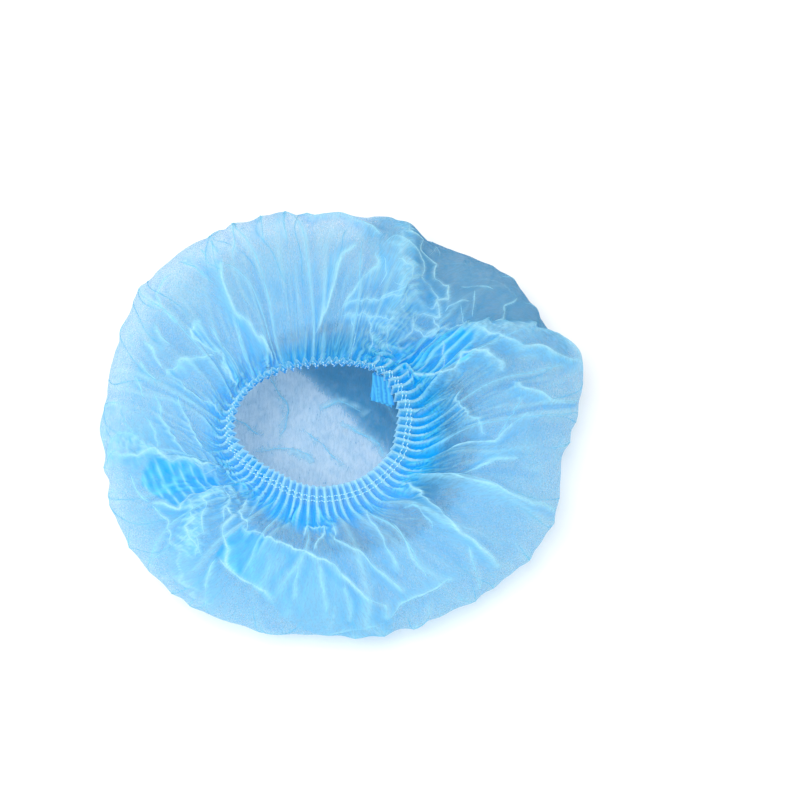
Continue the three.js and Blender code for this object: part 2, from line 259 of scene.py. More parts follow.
def section(column, azimuth):
    """One column of SECTIONS at any azimuth, by a smooth curve through the rows."""
    turned = azimuth % 360
    count = len(SECTIONS)
    row = np.searchsorted(SECTIONS[:, 0], turned, side="right") - 1
    starts = SECTIONS[:, 0]
    ends = np.append(starts[1:], 360)
    t = (turned - starts[row]) / (ends[row] - starts[row])
    value = SECTIONS[:, column]
    before, here, after, beyond = (value[(row + k) % count] for k in (-1, 0, 1, 2))
    return (
        here * (2 * t**3 - 3 * t**2 + 1)
        + (after - before) / 2 * (t**3 - 2 * t**2 + t)
        + after * (3 * t**2 - 2 * t**3)
        + (beyond - here) / 2 * (t**3 - t**2)
    )


def valley_width(valley, station):
    return valley[1] * (1 - 0.72 * rise(2, 3.5, station))


def valley_offset(azimuth, valley, station):
    return angle_between(azimuth, valley[0] + valley[2] * rise(2.2, 3.3, station))


def valley_share(azimuth, station):
    total = 0
    for valley in VALLEYS:
        off = np.abs(valley_offset(azimuth, valley, station)) / valley_width(valley, station)
        total = total + valley[3] * (1 - rise(0.3, 1.15, off))
    return total


def profile(azimuth, station):
    """Radius and height of the smooth cloth."""
    reach = CAP_RADIUS * section(REACH, azimuth)
    crest = PUFF_HEIGHT * section(CREST, azimuth) * (1 - valley_share(azimuth, station))
    mouth = MOUTH_RADIUS * section(MOUTH, azimuth)
    lift = MOUTH_HEIGHT * section(LIFT, azimuth)
    turn = np.radians(section(TURN, azimuth))
    in_r, in_z = -np.cos(turn), np.sin(turn)

    a = (np.clip(station, 1, 2) - 1) * math.pi / 2
    lower_r = REST_RADIUS + (reach - REST_RADIUS) * np.sin(a)
    lower_z = FLOOR_GAP + (BELLY_HEIGHT - FLOOR_GAP) * (1 - np.cos(a))
    a = (np.clip(station, 2, 3) - 2) * math.pi / 2
    upper_r = CREST_RADIUS + (reach - CREST_RADIUS) * np.cos(a)
    upper_z = BELLY_HEIGHT + (crest - BELLY_HEIGHT) * np.sin(a)
    t = np.clip(station, 3, 4) - 3
    w = [(1 - t) ** 3, 3 * t * (1 - t) ** 2, 3 * t**2 * (1 - t), t**3]
    collar_r = w[0] * CREST_RADIUS + w[1] * (CREST_RADIUS - COLLAR_HANDLE)
    collar_r = collar_r + w[2] * (mouth - in_r * HEM_HANDLE) + w[3] * mouth
    collar_z = (w[0] + w[1]) * crest + w[2] * (lift - in_z * HEM_HANDLE) + w[3] * lift
    out = (station - 4) * HEM_WIDTH

    zones = [station <= 1, station <= 2, station <= 3, station <= 4]
    r = np.select(zones, [REST_RADIUS * station, lower_r, upper_r, collar_r], mouth + in_r * out)
    z = np.select(zones, [FLOOR_GAP + 0 * r, lower_z, upper_z, collar_z], lift + in_z * out)
    return r, z


def smooth_point(azimuth, station):
    r, z = profile(azimuth, station)
    lean = rise(2, 4, station)
    turned = np.radians(azimuth)
    x = ORIGIN[0] + MOUTH_OFFSET[0] * lean + r * np.cos(turned)
    y = ORIGIN[1] + MOUTH_OFFSET[1] * lean + r * np.sin(turned)
    return np.stack([x, y, z], axis=-1)


def outward(azimuth, station):
    step = 0.04
    low_r, low_z = profile(azimuth, station - step)
    high_r, high_z = profile(azimuth, station + step)
    length = np.hypot(high_r - low_r, high_z - low_z)
    r = (high_z - low_z) / length
    z = -(high_r - low_r) / length
    turned = np.radians(azimuth)
    return np.stack([r * np.cos(turned), r * np.sin(turned), z], axis=-1)


# Smooth noise from a table of directions that a fixed seed shuffles
TABLE_SIZE = 256
table = np.random.default_rng(7)
SHUFFLE = np.tile(table.permutation(TABLE_SIZE), 2)
SLOPES = table.normal(size=(TABLE_SIZE, 3))
SLOPES /= np.linalg.norm(SLOPES, axis=1, keepdims=True)


def noise(x, y, z=0.0):
    """Smooth noise about 1 unit across, mostly between -1 and 1."""
    x, y, z = np.broadcast_arrays(x, y, z)
    cell = [np.floor(v).astype(int) for v in (x, y, z)]
    part = [v - c for v, c in zip((x, y, z), cell)]
    fade = [t * t * t * (t * (t * 6 - 15) + 10) for t in part]
    total = 0
    for corner in range(8):
        step = [(corner >> k) & 1 for k in range(3)]
        index = 0
        for c, s in zip(cell, step):
            index = SHUFFLE[(index + c + s) % TABLE_SIZE]
        slope = SLOPES[index]
        weight = 1
        dot = 0
        for k in range(3):
            weight = weight * (fade[k] if step[k] else 1 - fade[k])
            dot = dot + slope[..., k] * (part[k] - step[k])
        total = total + weight * dot
    return 1.6 * total


def round_noise(azimuth, waves, z, shift):
    """Noise with about that many waves round the cap."""
    radius = waves / (2 * math.pi)
    turned = np.radians(azimuth)
    return noise(shift + radius * np.cos(turned), 31.7 + radius * np.sin(turned), z)


# Folds that run out from the hem and end at different places. Each row holds where it leaves the
# hem, how far round it drifts, the station where it ends, its width there, its height and how far
# it leans over.
FOLD_COUNT = 42
chance = np.random.default_rng(11)
RADIAL_FOLDS = []
for number in range(FOLD_COUNT):
    at = (number + chance.uniform(-0.4, 0.4)) * 360 / FOLD_COUNT
    ends = (3.0, 2.1, 3.3, 1.8, 2.6)[number % 5] + chance.uniform(-0.3, 0.3)
    reach_out = 4 - ends
    width = 3.0 + 3.8 * reach_out + chance.uniform(-1, 1.5)
    height = 2.2 + 1.9 * reach_out * chance.uniform(0.35, 1.3)
    bright = chance.uniform(0.1, 0.55)
    drift = chance.uniform(-13, 13)
    RADIAL_FOLDS.append((at, drift, ends, width, height, chance.uniform(-1.2, 1.2), bright))


def fold_terms(azimuth, station, radius):
    """Height, lean and painted edge of the folds that run out from the hem."""
    height = np.zeros_like(azimuth)
    lean = np.zeros_like(azimuth)
    edge = np.zeros_like(azimuth)
    for at, drift, ends, width, tall, leaning, bright in RADIAL_FOLDS:
        out = np.clip((4 - station) / (4 - ends), 0, 1.3)
        line = at + drift * out * out + (1 + 3 * out) * noise(station * 1.9, at * 0.71)
        apart = np.radians(angle_between(azimuth, line)) * radius
        half = 2.2 + (width - 2.2) * out
        share = np.clip(1 - np.abs(apart) / half, 0, 1) ** 1.25
        strength = rise(0, 0.22, out) * (1 - rise(0.55, 1.15, out))
        height = np.maximum(height, tall * share * strength)
        lean = lean + leaning * tall * share * strength
        line_edge = bell(apart, 1.9) * rise(0.02, 0.2, out) * (1 - rise(0.6, 1.05, out))
        broken = np.clip(0.75 + 0.9 * noise(station * 3.1, at), 0, 1)
        edge = np.maximum(edge, line_edge * bright * broken)
    return height, lean, edge


# Folds up and down the belly. Each row holds the middle, how far round it drifts, the first and
# last station, half the width in mm, the height and how bright its edge is.
BELLY_COUNT = 36
belly_chance = np.random.default_rng(23)
BELLY_FOLDS = []
for number in range(BELLY_COUNT):
    at = (number + belly_chance.uniform(-0.4, 0.4)) * 360 / BELLY_COUNT
    start = belly_chance.uniform(1.12, 1.5)
    end = belly_chance.uniform(1.95, 2.5)
    drift = belly_chance.uniform(-10, 10)
    half = belly_chance.uniform(5, 10)
    tall = belly_chance.uniform(1.2, 3.0)
    BELLY_FOLDS.append((at, drift, start, end, half, tall, belly_chance.uniform(0.15, 0.6)))


def belly_line(at, drift, start, end, station):
    """How far along a belly fold a station is, and the fold's azimuth there."""
    share = (station - start) / (end - start)
    return share, at + drift * (share - 0.5) + 2.5 * noise(station * 2.3, at * 0.53)


def belly_terms(azimuth, station, radius):
    """Height and painted edge of the folds up and down the belly."""
    height = np.zeros_like(azimuth)
    edge = np.zeros_like(azimuth)
    for at, drift, start, end, half, tall, bright in BELLY_FOLDS:
        share, line = belly_line(at, drift, start, end, station)
        apart = np.radians(angle_between(azimuth, line)) * radius
        strength = rise(0, 0.3, share) * (1 - rise(0.7, 1, share))
        height = np.maximum(height, tall * strength * np.clip(1 - np.abs(apart) / half, 0, 1) ** 1.2)
        edge = np.maximum(edge, bright * strength * bell(apart, 1.9))
    return height, edge


def path_length(station):
    return np.interp(station, STATIONS, PUFFED_LENGTHS)


def station_along(run):
    return np.interp(run, PUFFED_LENGTHS, STATIONS)


def flat_place(azimuth, station):
    """Where a point of the cloth is on the flat circle that the cap was cut from."""
    from_centre = np.interp(station, STATIONS, FLAT_LENGTHS)
    turned = np.radians(azimuth)
    return from_centre * np.cos(turned), from_centre * np.sin(turned)


def wobble(x, y, shift):
    """Small wobble in mm that keeps straight creases from looking ruled."""
    return 1.5 * noise(x / 9, y / 9, shift)


def saw(phase):
    """A wave with sharp tops and bottoms, between -1 and 1."""
    return 4 * np.abs(phase % 1 - 0.5) - 1


def ruffle_terms(azimuth, station, radius):
    """Height, lean and painted edge of the ruffled ridges beside the two valleys."""
    height = np.zeros_like(azimuth)
    lean = np.zeros_like(azimuth)
    edge = np.zeros_like(azimuth)
    strength = rise(2.0, 2.35, station) * (1 - rise(3.75, 4, station))
    run = path_length(station)
    for index, valley in enumerate(VALLEYS):
        offset = valley_offset(azimuth, valley, station)
        side = np.abs(offset) - valley_width(valley, station)
        side = side - RIDGE_BEND * np.sin(3 * math.pi * station)
        apart = np.radians(side) * radius
        phase = run / 8.5 + 1.3 * noise(run / 21, offset / 25, index) + 0.02 * np.abs(apart)
        wave = saw(phase)
        body = bell(side, RIDGE_WIDTH)
        crown = bell(apart + 4 * wave, 17)
        height = height + valley[4] * strength * (RIDGE_HEIGHT * 0.6 * body + 4.2 * crown * (1 + wave))
        lean = lean + strength * np.sign(offset) * 5.0 * crown * wave
        top = bell(apart + 4 * wave, 2.4)
        rib = rise(0.55, 0.92, wave) * bell(apart, 20)
        edge = np.maximum(edge, strength * np.maximum(top, 0.75 * rib))
    return height, lean, edge


# Between the crest and the foot of each ridge the cloth shows a steep face of packed pleats.
# The back one is bounded by stations at some azimuths, the left one by azimuths at some stations.
BACK_FACE_AZIMUTHS = [20, 25, 30, 38, 46, 52]
BACK_FACE_CREST = [3.16, 3.1, 3.05, 3.12, 3.2, 3.4]
BACK_FACE_FOOT = [3.18, 3.42, 3.6, 3.72, 3.8, 3.84]
LEFT_FACE_STATIONS = [2.7, 2.76, 2.84, 2.95, 3.1, 3.25, 3.42, 3.55]
LEFT_FACE_CREST = [206, 203, 201, 199, 202, 202, 205, 211]
LEFT_FACE_FOOT = [206, 209, 213, 218, 215, 218, 214, 211]


def face_terms(azimuth, station):
    """How much each point is on a pleated face, and the pleats' wave there."""
    crest = np.interp(azimuth, BACK_FACE_AZIMUTHS, BACK_FACE_CREST)
    foot = np.interp(azimuth, BACK_FACE_AZIMUTHS, BACK_FACE_FOOT)
    back_face = rise(-0.01, 0.05, station - crest) * rise(-0.01, 0.05, foot - station)
    back_face = back_face * (azimuth > 20) * (azimuth < 52)
    run = path_length(station)
    back_wave = saw(azimuth / 4.3 + 0.5 * noise(azimuth / 7, run / 20, 60.5))
    crest = np.interp(station, LEFT_FACE_STATIONS, LEFT_FACE_CREST)
    foot = np.interp(station, LEFT_FACE_STATIONS, LEFT_FACE_FOOT)
    left_face = rise(-0.5, 2, azimuth - crest) * rise(-0.5, 2, foot - azimuth)
    left_face = left_face * (station > 2.7) * (station < 3.55)
    left_wave = saw(run / 6.5 + 0.5 * noise(azimuth / 9, run / 12, 62.5))
    face = np.maximum(back_face, left_face)
    return face, np.where(back_face > left_face, back_wave, left_wave)


# Creases at chosen places. Each row holds its height in mm, how bright its painted edge highlight is,
# how much the cloth is doubled on its left (or, below zero, its right) side and painted in shade on the
# other, and its places as azimuth, station.
CREASES = [
    (1.6, 0.8, -0.2, [(140, 2.52), (148, 2.61), (150, 2.75), (152, 2.96)]),
    (1.6, 0.8, -0.4, [(154, 2.73), (158, 2.87), (158, 3.01)]),
    (1.6, 0.9, -0.4, [(162, 2.7), (163, 2.87), (168, 3.03)]),
    (1.6, 0.8, -0.4, [(167, 2.75), (171, 2.87), (174, 3.01)]),
    (3.5, 1.0, 0.8, [
        (142, 3.08), (150, 3.05), (152, 3.11), (149, 3.26), (146, 3.36), (148, 3.43), (146, 3.85),
    ]),
    (1.5, 0.7, 0, [(142, 3.09), (142, 3.3), (141, 3.52), (140, 3.74)]),
    (3.0, 0.9, -0.7, [(171, 3.02), (166, 3.07), (159, 3.15), (152, 3.28), (147, 3.35)]),
    (2.0, 0.8, -0.6, [(166, 3.18), (170, 3.23), (168, 3.38), (164, 3.6), (166, 3.9)]),
    (2.0, 0.7, -0.4, [(181, 2.1), (182, 2.35), (182, 2.6)]),
    (1.5, 0.6, -0.3, [(174, 2.78), (180, 2.89)]),
    (1.5, 0.6, -0.3, [(178, 3.0), (185, 3.08)]),
    (3.5, 1.0, -0.9, [
        (126, 2.75), (128, 2.9), (130, 3.05), (130, 3.19), (126, 3.34), (123, 3.53), (120, 3.75),
    ]),
    (1.8, 0.7, 0.3, [(130, 3.19), (133, 3.37), (135, 3.6)]),
    (1.2, 0.5, 0, [(130, 2.51), (130, 2.77), (127, 2.9)]),
    (1.2, 0.5, -0.3, [(126, 2.28), (126, 2.67), (126, 2.76)]),
    (1.2, 0.6, 0, [(118, 2.0), (119, 2.33), (120, 2.65), (124, 2.91)]),
    (0.8, 0.3, 0.5, [(136, 2.46), (134, 2.72), (132, 2.92)]),
    (1.4, 0.4, -0.4, [(112, 2.0), (112, 2.42), (113, 2.8)]),
    (1.4, 0.4, -0.4, [(106, 2.0), (106, 2.46), (106, 2.86)]),
    (3.0, 0.8, -0.8, [(102, 2.2), (98, 2.46), (90, 2.48), (84, 2.54), (76, 2.76)]),
    (3.0, 0.9, -0.7, [(83, 2.8), (84, 2.89), (88, 3.06), (88, 3.21), (91, 3.36), (96, 3.54)]),
    (2.0, 0.7, -0.5, [(86, 3.36), (80, 3.29), (69, 3.24), (56, 3.05)]),
    (2.0, 0.7, -0.5, [(84, 3.39), (74, 3.36), (63, 3.36), (56, 3.36), (50, 3.29)]),
    (3.5, 1.0, -0.7, [
        (74, 2.31), (70, 2.62), (66, 2.57), (64, 2.74), (60, 2.72), (57, 2.85), (53, 2.81), (50, 2.92),
        (53, 2.98), (48, 3.05), (53, 3.12), (55, 3.2), (52, 3.3), (54, 3.5), (49, 3.6),
    ]),
    (3.0, 0.8, -0.5, [
        (76, 2.87), (72, 2.76), (67, 2.8), (62, 2.79), (60, 2.95), (62, 3.12), (66, 3.17),
    ]),
    (2.5, 0.8, 0.5, [(77, 2.88), (74, 3.04), (78, 3.13), (80, 3.22), (84, 3.36)]),
    (1.5, 0.7, -0.5, [(50, 2.74), (46, 2.63), (42, 2.55)]),
    (1.2, 0.7, 0, [(46, 2.69), (43, 2.78), (40, 2.85)]),
    (1.5, 0.7, -0.4, [(48, 3.01), (49, 2.94), (44, 2.78)]),
    (1.2, 0.6, 0, [(46, 2.87), (40, 2.98), (36, 3.08)]),
    (1.5, 0.7, -0.5, [(32, 2.93), (29, 2.78), (36, 2.57), (36, 2.31)]),
    (1.5, 0.8, 0, [(62, 2.68), (63, 2.43), (60, 2.57)]),
    (3.5, 1.0, -0.9, [
        (50, 3.29), (46, 3.16), (44, 3.09), (38, 3.1), (33, 3.02), (30, 3.02), (25, 2.97), (21, 2.87),
        (16, 2.79), (14, 2.64), (12, 2.58), (10, 2.41), (10, 2.11),
    ]),
    (3.0, 1.0, -0.7, [
        (48, 3.83), (35, 3.71), (24, 3.42), (22, 3.3), (25, 3.2), (20, 3.04), (14, 2.99), (9, 2.97),
    ]),
    (2.5, 0.8, -0.8, [(7, 2.96), (2, 2.83), (358, 2.62), (358, 2.46), (1, 2.17)]),
    (2.0, 0.8, -0.4, [(345, 3.46), (346, 3.24), (345, 3.04), (349, 2.96), (355, 2.78)]),
    (2.5, 0.7, 0.6, [(329, 3.19), (334, 3.08), (337, 2.99), (339, 2.76)]),
    (3.0, 0.9, -0.7, [
        (329, 3.68), (330, 3.37), (328, 3.19), (327, 3.0), (326, 2.75), (327, 2.53), (331, 2.1),
    ]),
    (3.0, 1.0, -0.8, [
        (327, 3.81), (321, 3.47), (316, 3.25), (312, 3.03), (310, 2.83), (310, 2.62), (310, 2.25),
    ]),
    (1.5, 0.7, 0, [(308, 2.72), (305, 2.45), (303, 2.1)]),
    (1.5, 0.7, 0, [(298, 3.3), (296, 3.05), (294, 2.86), (294, 2.6)]),
    (1.5, 0.5, 0.3, [(309, 3.48), (312, 3.33), (306, 3.01)]),
    (1.2, 0.4, 0, [(2, 2.87), (357, 2.91), (346, 3.03)]),
    (2.0, 0.7, -0.6, [
        (13, 3.33), (10, 3.39), (2, 3.32), (356, 3.23), (354, 3.17), (349, 3.15), (347, 3.09),
    ]),
    (4.0, 1.0, -0.7, [
        (194, 2.35), (197, 2.6), (199, 2.79), (197, 2.96), (202, 3.09), (201, 3.25), (204, 3.36),
        (201, 3.6),
    ]),
    (3.0, 1.0, -0.7, [
        (212, 2.71), (214, 2.84), (218, 2.92), (215, 3.1), (218, 3.22), (213, 3.39), (218, 3.67),
    ]),
    (1.5, 0.7, 0, [(202, 2.63), (210, 2.66), (212, 2.71)]),
    (1.5, 0.8, 0, [(212, 2.71), (219, 2.76), (228, 2.6)]),
    (1.5, 0.7, 0, [(227, 2.56), (225, 2.42), (224, 2.3)]),
    (1.5, 0.7, 0, [(228, 2.67), (229, 2.93)]),
    (3.5, 1.0, -0.5, [
        (212, 3.39), (220, 3.34), (220, 3.18), (225, 3.1), (227, 3.0), (231, 2.9), (231, 2.82),
        (236, 2.65),
    ]),
    (3.5, 1.0, 0.5, [
        (222, 3.51), (228, 3.28), (233, 3.25), (234, 3.05), (240, 2.88), (241, 2.77), (246, 2.64),
    ]),
    (3.0, 1.0, 0, [
        (238, 3.3), (239, 3.16), (244, 3.22), (249, 3.16), (258, 3.18), (264, 3.1), (272, 3.0),
        (275, 2.82), (278, 2.6), (282, 2.46), (281, 2.2),
    ]),
    (2.0, 0.9, 0, [(238, 2.77), (244, 2.7), (248, 2.64), (253, 2.62), (257, 2.45)]),
    (2.0, 0.8, 0.3, [(238, 2.77), (239, 2.56), (240, 2.31), (241, 2.0)]),
    (2.5, 0.9, 0, [(266, 3.1), (270, 3.35), (273, 3.6), (265, 3.57), (262, 3.32)]),
    (2.5, 0.8, -0.4, [(277, 3.65), (276, 3.34), (281, 3.07), (285, 2.82), (288, 2.5)]),
    (2.0, 0.7, -0.3, [(298, 3.85), (294, 3.5), (290, 3.05), (289, 2.73)]),
    (2.0, 0.8, 0.4, [(281, 2.23), (286, 2.44), (293, 2.48), (298, 2.53), (300, 2.42)]),
    (2.5, 0.9, -0.5, [(69, 2.97), (63, 2.97), (61, 3.04), (63, 3.12), (67, 3.12)]),
    (2.5, 0.9, -0.5, [(62, 3.0), (57, 2.92), (53, 2.95), (52, 3.04), (55, 3.09)]),
    (2.0, 0.8, -0.4, [(69, 3.25), (64, 3.19), (59, 3.17), (57, 3.24)]),
    (2.0, 0.9, 0.4, [(55, 3.13), (53, 3.27), (46, 3.24), (46, 3.13), (52, 3.08)]),
    (1.5, 0.8, 0.4, [(74, 2.95), (70, 3.07), (71, 3.16)]),
    (2.0, 0.8, 0.5, [(59, 3.38), (58, 3.52), (53, 3.7)]),
    (2.0, 0.7, 0.4, [(71, 3.36), (65, 3.5), (63, 3.7)]),
    (2.0, 0.7, 0.4, [(79, 3.37), (75, 3.52), (73, 3.75)]),
    (1.5, 0.7, 0.4, [(38, 3.25), (31, 3.34), (26, 3.47)]),
    (2.5, 1.0, -0.4, [(213, 3.08), (220, 3.04), (226, 2.93), (226, 2.82), (233, 2.74), (234, 2.6)]),
    (2.5, 1.0, 0.4, [(226, 3.65), (231, 3.5), (233, 3.35), (240, 3.24), (241, 3.1)]),
    (2.0, 0.9, -0.4, [(213, 3.55), (219, 3.42), (226, 3.38), (229, 3.2), (233, 3.1)]),
    (2.0, 0.8, -0.5, [(196, 2.45), (191, 2.6), (192, 2.74), (195, 2.86), (199, 2.93)]),
    (1.5, 0.7, -0.4, [(186, 2.9), (190, 2.98), (195, 3.02), (200, 2.94)]),
    (1.8, 0.8, -0.5, [(182, 3.02), (188, 3.1), (193, 3.18), (200, 3.28)]),
    (1.2, 0.6, 0, [(185, 2.6), (190, 2.72), (193, 2.8)]),
    (2.0, 0.7, -0.4, [(174, 3.15), (180, 3.3), (187, 3.41), (194, 3.5)]),
    (2.0, 0.9, 0, [(203, 3.27), (206, 3.39), (205, 3.55)]),
    (1.5, 0.5, 0, [(262, 3.06), (261, 2.8), (260, 2.5)]),
    (1.5, 0.5, 0, [(268, 3.01), (268, 2.7), (268, 2.4)]),
    (1.5, 0.5, 0, [(274, 2.8), (274, 2.5), (273, 2.2)]),
    (1.5, 0.6, 0.2, [(266, 2.0), (271, 2.12), (277, 2.22), (281, 2.2)]),
]
LAP_WIDTH = 10
CREASE_FADE = 7


def segment_reach(ax, ay, bx, by):
    """How near the segment from a to b comes to the origin, and at what share of it."""
    gx, gy = bx - ax, by - ay
    share = np.clip(-(ax * gx + ay * gy) / (gx * gx + gy * gy), 0, 1)
    return np.hypot(ax + share * gx, ay + share * gy), share


def line_reach(corners, shape):
    """How near a line through corners comes to the origin, on which side of it the origin lies,
    how far along it the nearest place is, and how long the line is."""
    nearest = np.full(shape, 99.0)
    side = np.ones(shape)
    passed = np.zeros(shape)
    before = 0
    for (ax, ay), (bx, by) in zip(corners[:-1], corners[1:]):
        distance, share = segment_reach(ax, ay, bx, by)
        closer = distance < nearest
        nearest = np.where(closer, distance, nearest)
        side = np.where(closer, np.sign((by - ay) * ax - (bx - ax) * ay), side)
        length = np.hypot(bx - ax, by - ay)
        passed = np.where(closer, before + share * length, passed)
        before = before + length
    return nearest, side, passed, before


def chosen_terms(azimuth, station, radius):
    """Height, painted edge, doubled layers and shade of the chosen creases."""
    x, y = flat_place(azimuth, station)
    azimuth = azimuth + np.degrees(wobble(x, y, 40.5) / radius)
    run = path_length(station) + wobble(x, y, 44.5)
    height = np.zeros_like(azimuth)
    edge = np.zeros_like(azimuth)
    doubled = np.zeros_like(azimuth)
    shade = np.zeros_like(azimuth)
    for tall, bright, lap, places in CREASES:
        start = angle_between(places[0][0], azimuth)
        corners = [
            (np.radians(start + angle_between(at, places[0][0])) * radius, path_length(s) - run)
            for at, s in places
        ]
        nearest, side, passed, length = line_reach(corners, azimuth.shape)
        taper = rise(0, CREASE_FADE, np.minimum(passed, length - passed))
        slope = np.clip(1 - nearest / (3 + 1.4 * tall), 0, 1) ** 1.3
        height = np.maximum(height, tall * taper * slope)
        broken = np.clip(0.85 + 0.8 * noise(x / 11, y / 11, 48.5), 0.2, 1) * taper
        edge = np.maximum(edge, 0.75 * bright * broken * bell(nearest, 1.8))
        off = nearest * side * (1 if lap > 0 else -1)
        fade = (1 - rise(2, LAP_WIDTH, off)) * rise(-1.0, 0.4, off) * taper
        doubled = doubled + abs(lap) * fade
        beside = (1 - rise(2, 15, -off)) * rise(0, 1.4, -off)
        shade = np.maximum(shade, abs(lap) * taper * beside)
    return height, edge, np.clip(doubled, 0, 1.4), shade


PLEAT_DIRECTION = 108
PLEAT_SPACING = 19


def crease_terms(azimuth, station):
    """Height and painted edge of the creases that cross the cloth at any angle."""
    x, y = flat_place(azimuth, station)
    out = np.hypot(x, y)
    wide = round_noise(azimuth + 5 * noise(x / 60, y / 60, 2.2), 46, out / 70, 3.3)
    small = round_noise(azimuth + 8 * noise(x / 40, y / 40, 5.2), 60, out / 26, 9.1)
    height = 1.6 * (0.5 - np.abs(wide)) + 0.7 * (0.5 - np.abs(small))
    height = height + 0.8 * noise(x / 21, y / 21, 9.6)
    # Pleat lines from when the cap was folded flat
    tilt = math.radians(PLEAT_DIRECTION)
    across = x * math.sin(tilt) - y * math.cos(tilt) + 9 * noise(x / 70, y / 70, 12.5)
    pleat = saw(across / PLEAT_SPACING)
    shown = np.clip(0.3 + 1.3 * noise(x / 36, y / 36, 14.2), 0, 1) * (1 - rise(2.3, 2.9, station))
    height = height + 0.5 * pleat * shown
    edge = 0.75 * rise(0.86, 0.97, pleat) * shown
    strength = rise(1.1, 1.6, station) * (1 - rise(3.5, 3.9, station))
    return height * strength, edge * strength


def gather_terms(azimuth, station):
    """Height and painted edge of the fine gathers at the stitching."""
    drift = 0.9 * round_noise(azimuth, 22, station * 0.5, 5)
    deep = 1 + 0.45 * round_noise(azimuth, 26, station * 0.4, 11)
    gather = np.cos(GATHERS * np.radians(azimuth) + 2.2 * drift)
    sharp = 2 * np.sqrt(np.clip(0.5 + 0.5 * gather, 0, 1)) - 1
    starts = 3.55 + 0.32 * round_noise(azimuth, 48, 0.0, 23)
    strength = rise(starts, 3.97, station)
    return 1.8 * deep * sharp * strength, rise(0.5, 0.97, gather) * strength


def relief(azimuth, station, radius):
    """Height and lean of all folds on the smooth cloth, then the paint that goes with them:
    edges, pleated faces, doubled layers and shade."""
    total = 0
    for at, width, height, start, end in FOLDS:
        along = tent(station - (start + end) / 2, (end - start) / 2)
        wander = 3 * noise(station * 2.2, at * 0.37)
        across = tent(angle_between(azimuth, at + wander), width * (1.4 - 0.4 * along))
        total = total + PUFF_HEIGHT * height * np.sin(along * math.pi / 2) * across
    fold, fold_lean, fold_edge = fold_terms(azimuth, station, radius)
    ruffle, ruffle_lean, ruffle_edge = ruffle_terms(azimuth, station, radius)
    face, pleat_wave = face_terms(azimuth, station)
    ruffles = (ruffle, ruffle_lean, ruffle_edge)
    ruffle, ruffle_lean, ruffle_edge = (part * (1 - 0.85 * face) for part in ruffles)
    crease, crease_edge = crease_terms(azimuth, station)
    broad = round_noise(azimuth, 14, station * 0.8, 63)
    total = total + 2.2 * broad * rise(1.5, 2.1, station) * (1 - rise(3.0, 3.6, station))
    gather, gather_edge = gather_terms(azimuth, station)
    chosen, chosen_edge, doubled, shade = chosen_terms(azimuth, station, radius)
    belly, belly_edge = belly_terms(azimuth, station, radius)
    fine = np.maximum(0.6 * fold, 0.6 * ruffle) + 0.7 * crease + belly
    total = total + np.maximum(1.2 * chosen, fine) + 0.3 * fine + gather + 1.6 * face * pleat_wave
    edge = np.maximum(fold_edge, 0.6 * ruffle_edge)
    edge = np.maximum(edge, np.maximum(0.6 * crease_edge, 0.9 * gather_edge))
    edge = np.maximum(edge, 0.6 * face * rise(0.45, 0.95, pleat_wave))
    edge = np.maximum(edge, 0.7 * belly_edge)
    return total, 0.4 * (fold_lean + ruffle_lean), np.maximum(edge, chosen_edge), face, doubled, shade


# Settling: the cloth is longer than the puffed form it is held in, so it buckles into folds
def pull(a, b, length, share):
    """Moves two sets of points towards the distance that the cloth between them has."""
    gap = b - a
    distance = np.sqrt((gap * gap).sum(-1, keepdims=True)) + 1e-9
    move = 0.5 * share * (1 - length / distance) * gap
    a += move
    b -= move


def pull_round(points, length, share):
    pull(points[:, 0::2], points[:, 1::2], length[:, 0::2], share)
    turned = np.roll(points, -1, axis=1)
    pull(turned[:, 0::2], turned[:, 1::2], np.roll(length, -1, axis=1)[:, 0::2], share)
    points[:] = np.roll(turned, 1, axis=1)


def pull_along(points, length, share):
    count = len(points)
    for first in (0, 1):
        last = first + 2 * ((count - first) // 2)
        pull(points[first:last:2], points[first + 1 : last : 2], length[first : last - 1 : 2], share)


def pull_slant(points, length, share, side):
    """The same along one diagonal of each cell, which keeps the cells from shearing."""
    count = len(points)
    turned = np.roll(points, -side, axis=1)
    for first in (0, 1):
        last = first + 2 * ((count - first) // 2)
        a = points[first:last:2].copy()
        b = turned[first + 1 : last : 2].copy()
        gap = b - a
        distance = np.sqrt((gap * gap).sum(-1, keepdims=True)) + 1e-9
        move = 0.5 * share * (1 - length[first : last - 1 : 2] / distance) * gap
        points[first:last:2] += move
        points[first + 1 : last : 2] -= np.roll(move, side, axis=1)
        turned = np.roll(points, -side, axis=1)


def bend_of(points):
    """How far each point is from the middle of its four neighbours, times four."""
    total = np.roll(points, 1, axis=1) + np.roll(points, -1, axis=1)
    padded = np.concatenate([points[:1] * 2 - points[1:2], points, points[-1:] * 2 - points[-2:-1]])
    return total + padded[:-2] + padded[2:] - 4 * points


def settle(points, base, round_length, along_length, hold):
    """Lets the cloth find its own folds, held more or less strongly to the form that it began in."""
    slant_length = np.sqrt(round_length[:-1] ** 2 + along_length**2)
    for _ in range(SETTLE_STEPS):
        pull_round(points, round_length, CLOTH_PULL)
        pull_along(points, along_length, CLOTH_PULL)
        pull_slant(points, slant_length, SLANT_PULL, 1)
        pull_slant(points, slant_length, SLANT_PULL, -1)
        points -= STIFFNESS * bend_of(bend_of(points))
        points += hold * (base - points)
        points[..., 2] = np.maximum(points[..., 2], FLOOR_GAP)
        points[0] = base[0]
    return points


def lengths_of(points):
    round_length = np.linalg.norm(np.roll(points, -1, axis=1) - points, axis=-1, keepdims=True)
    along_length = np.linalg.norm(points[1:] - points[:-1], axis=-1, keepdims=True)
    return round_length, along_length


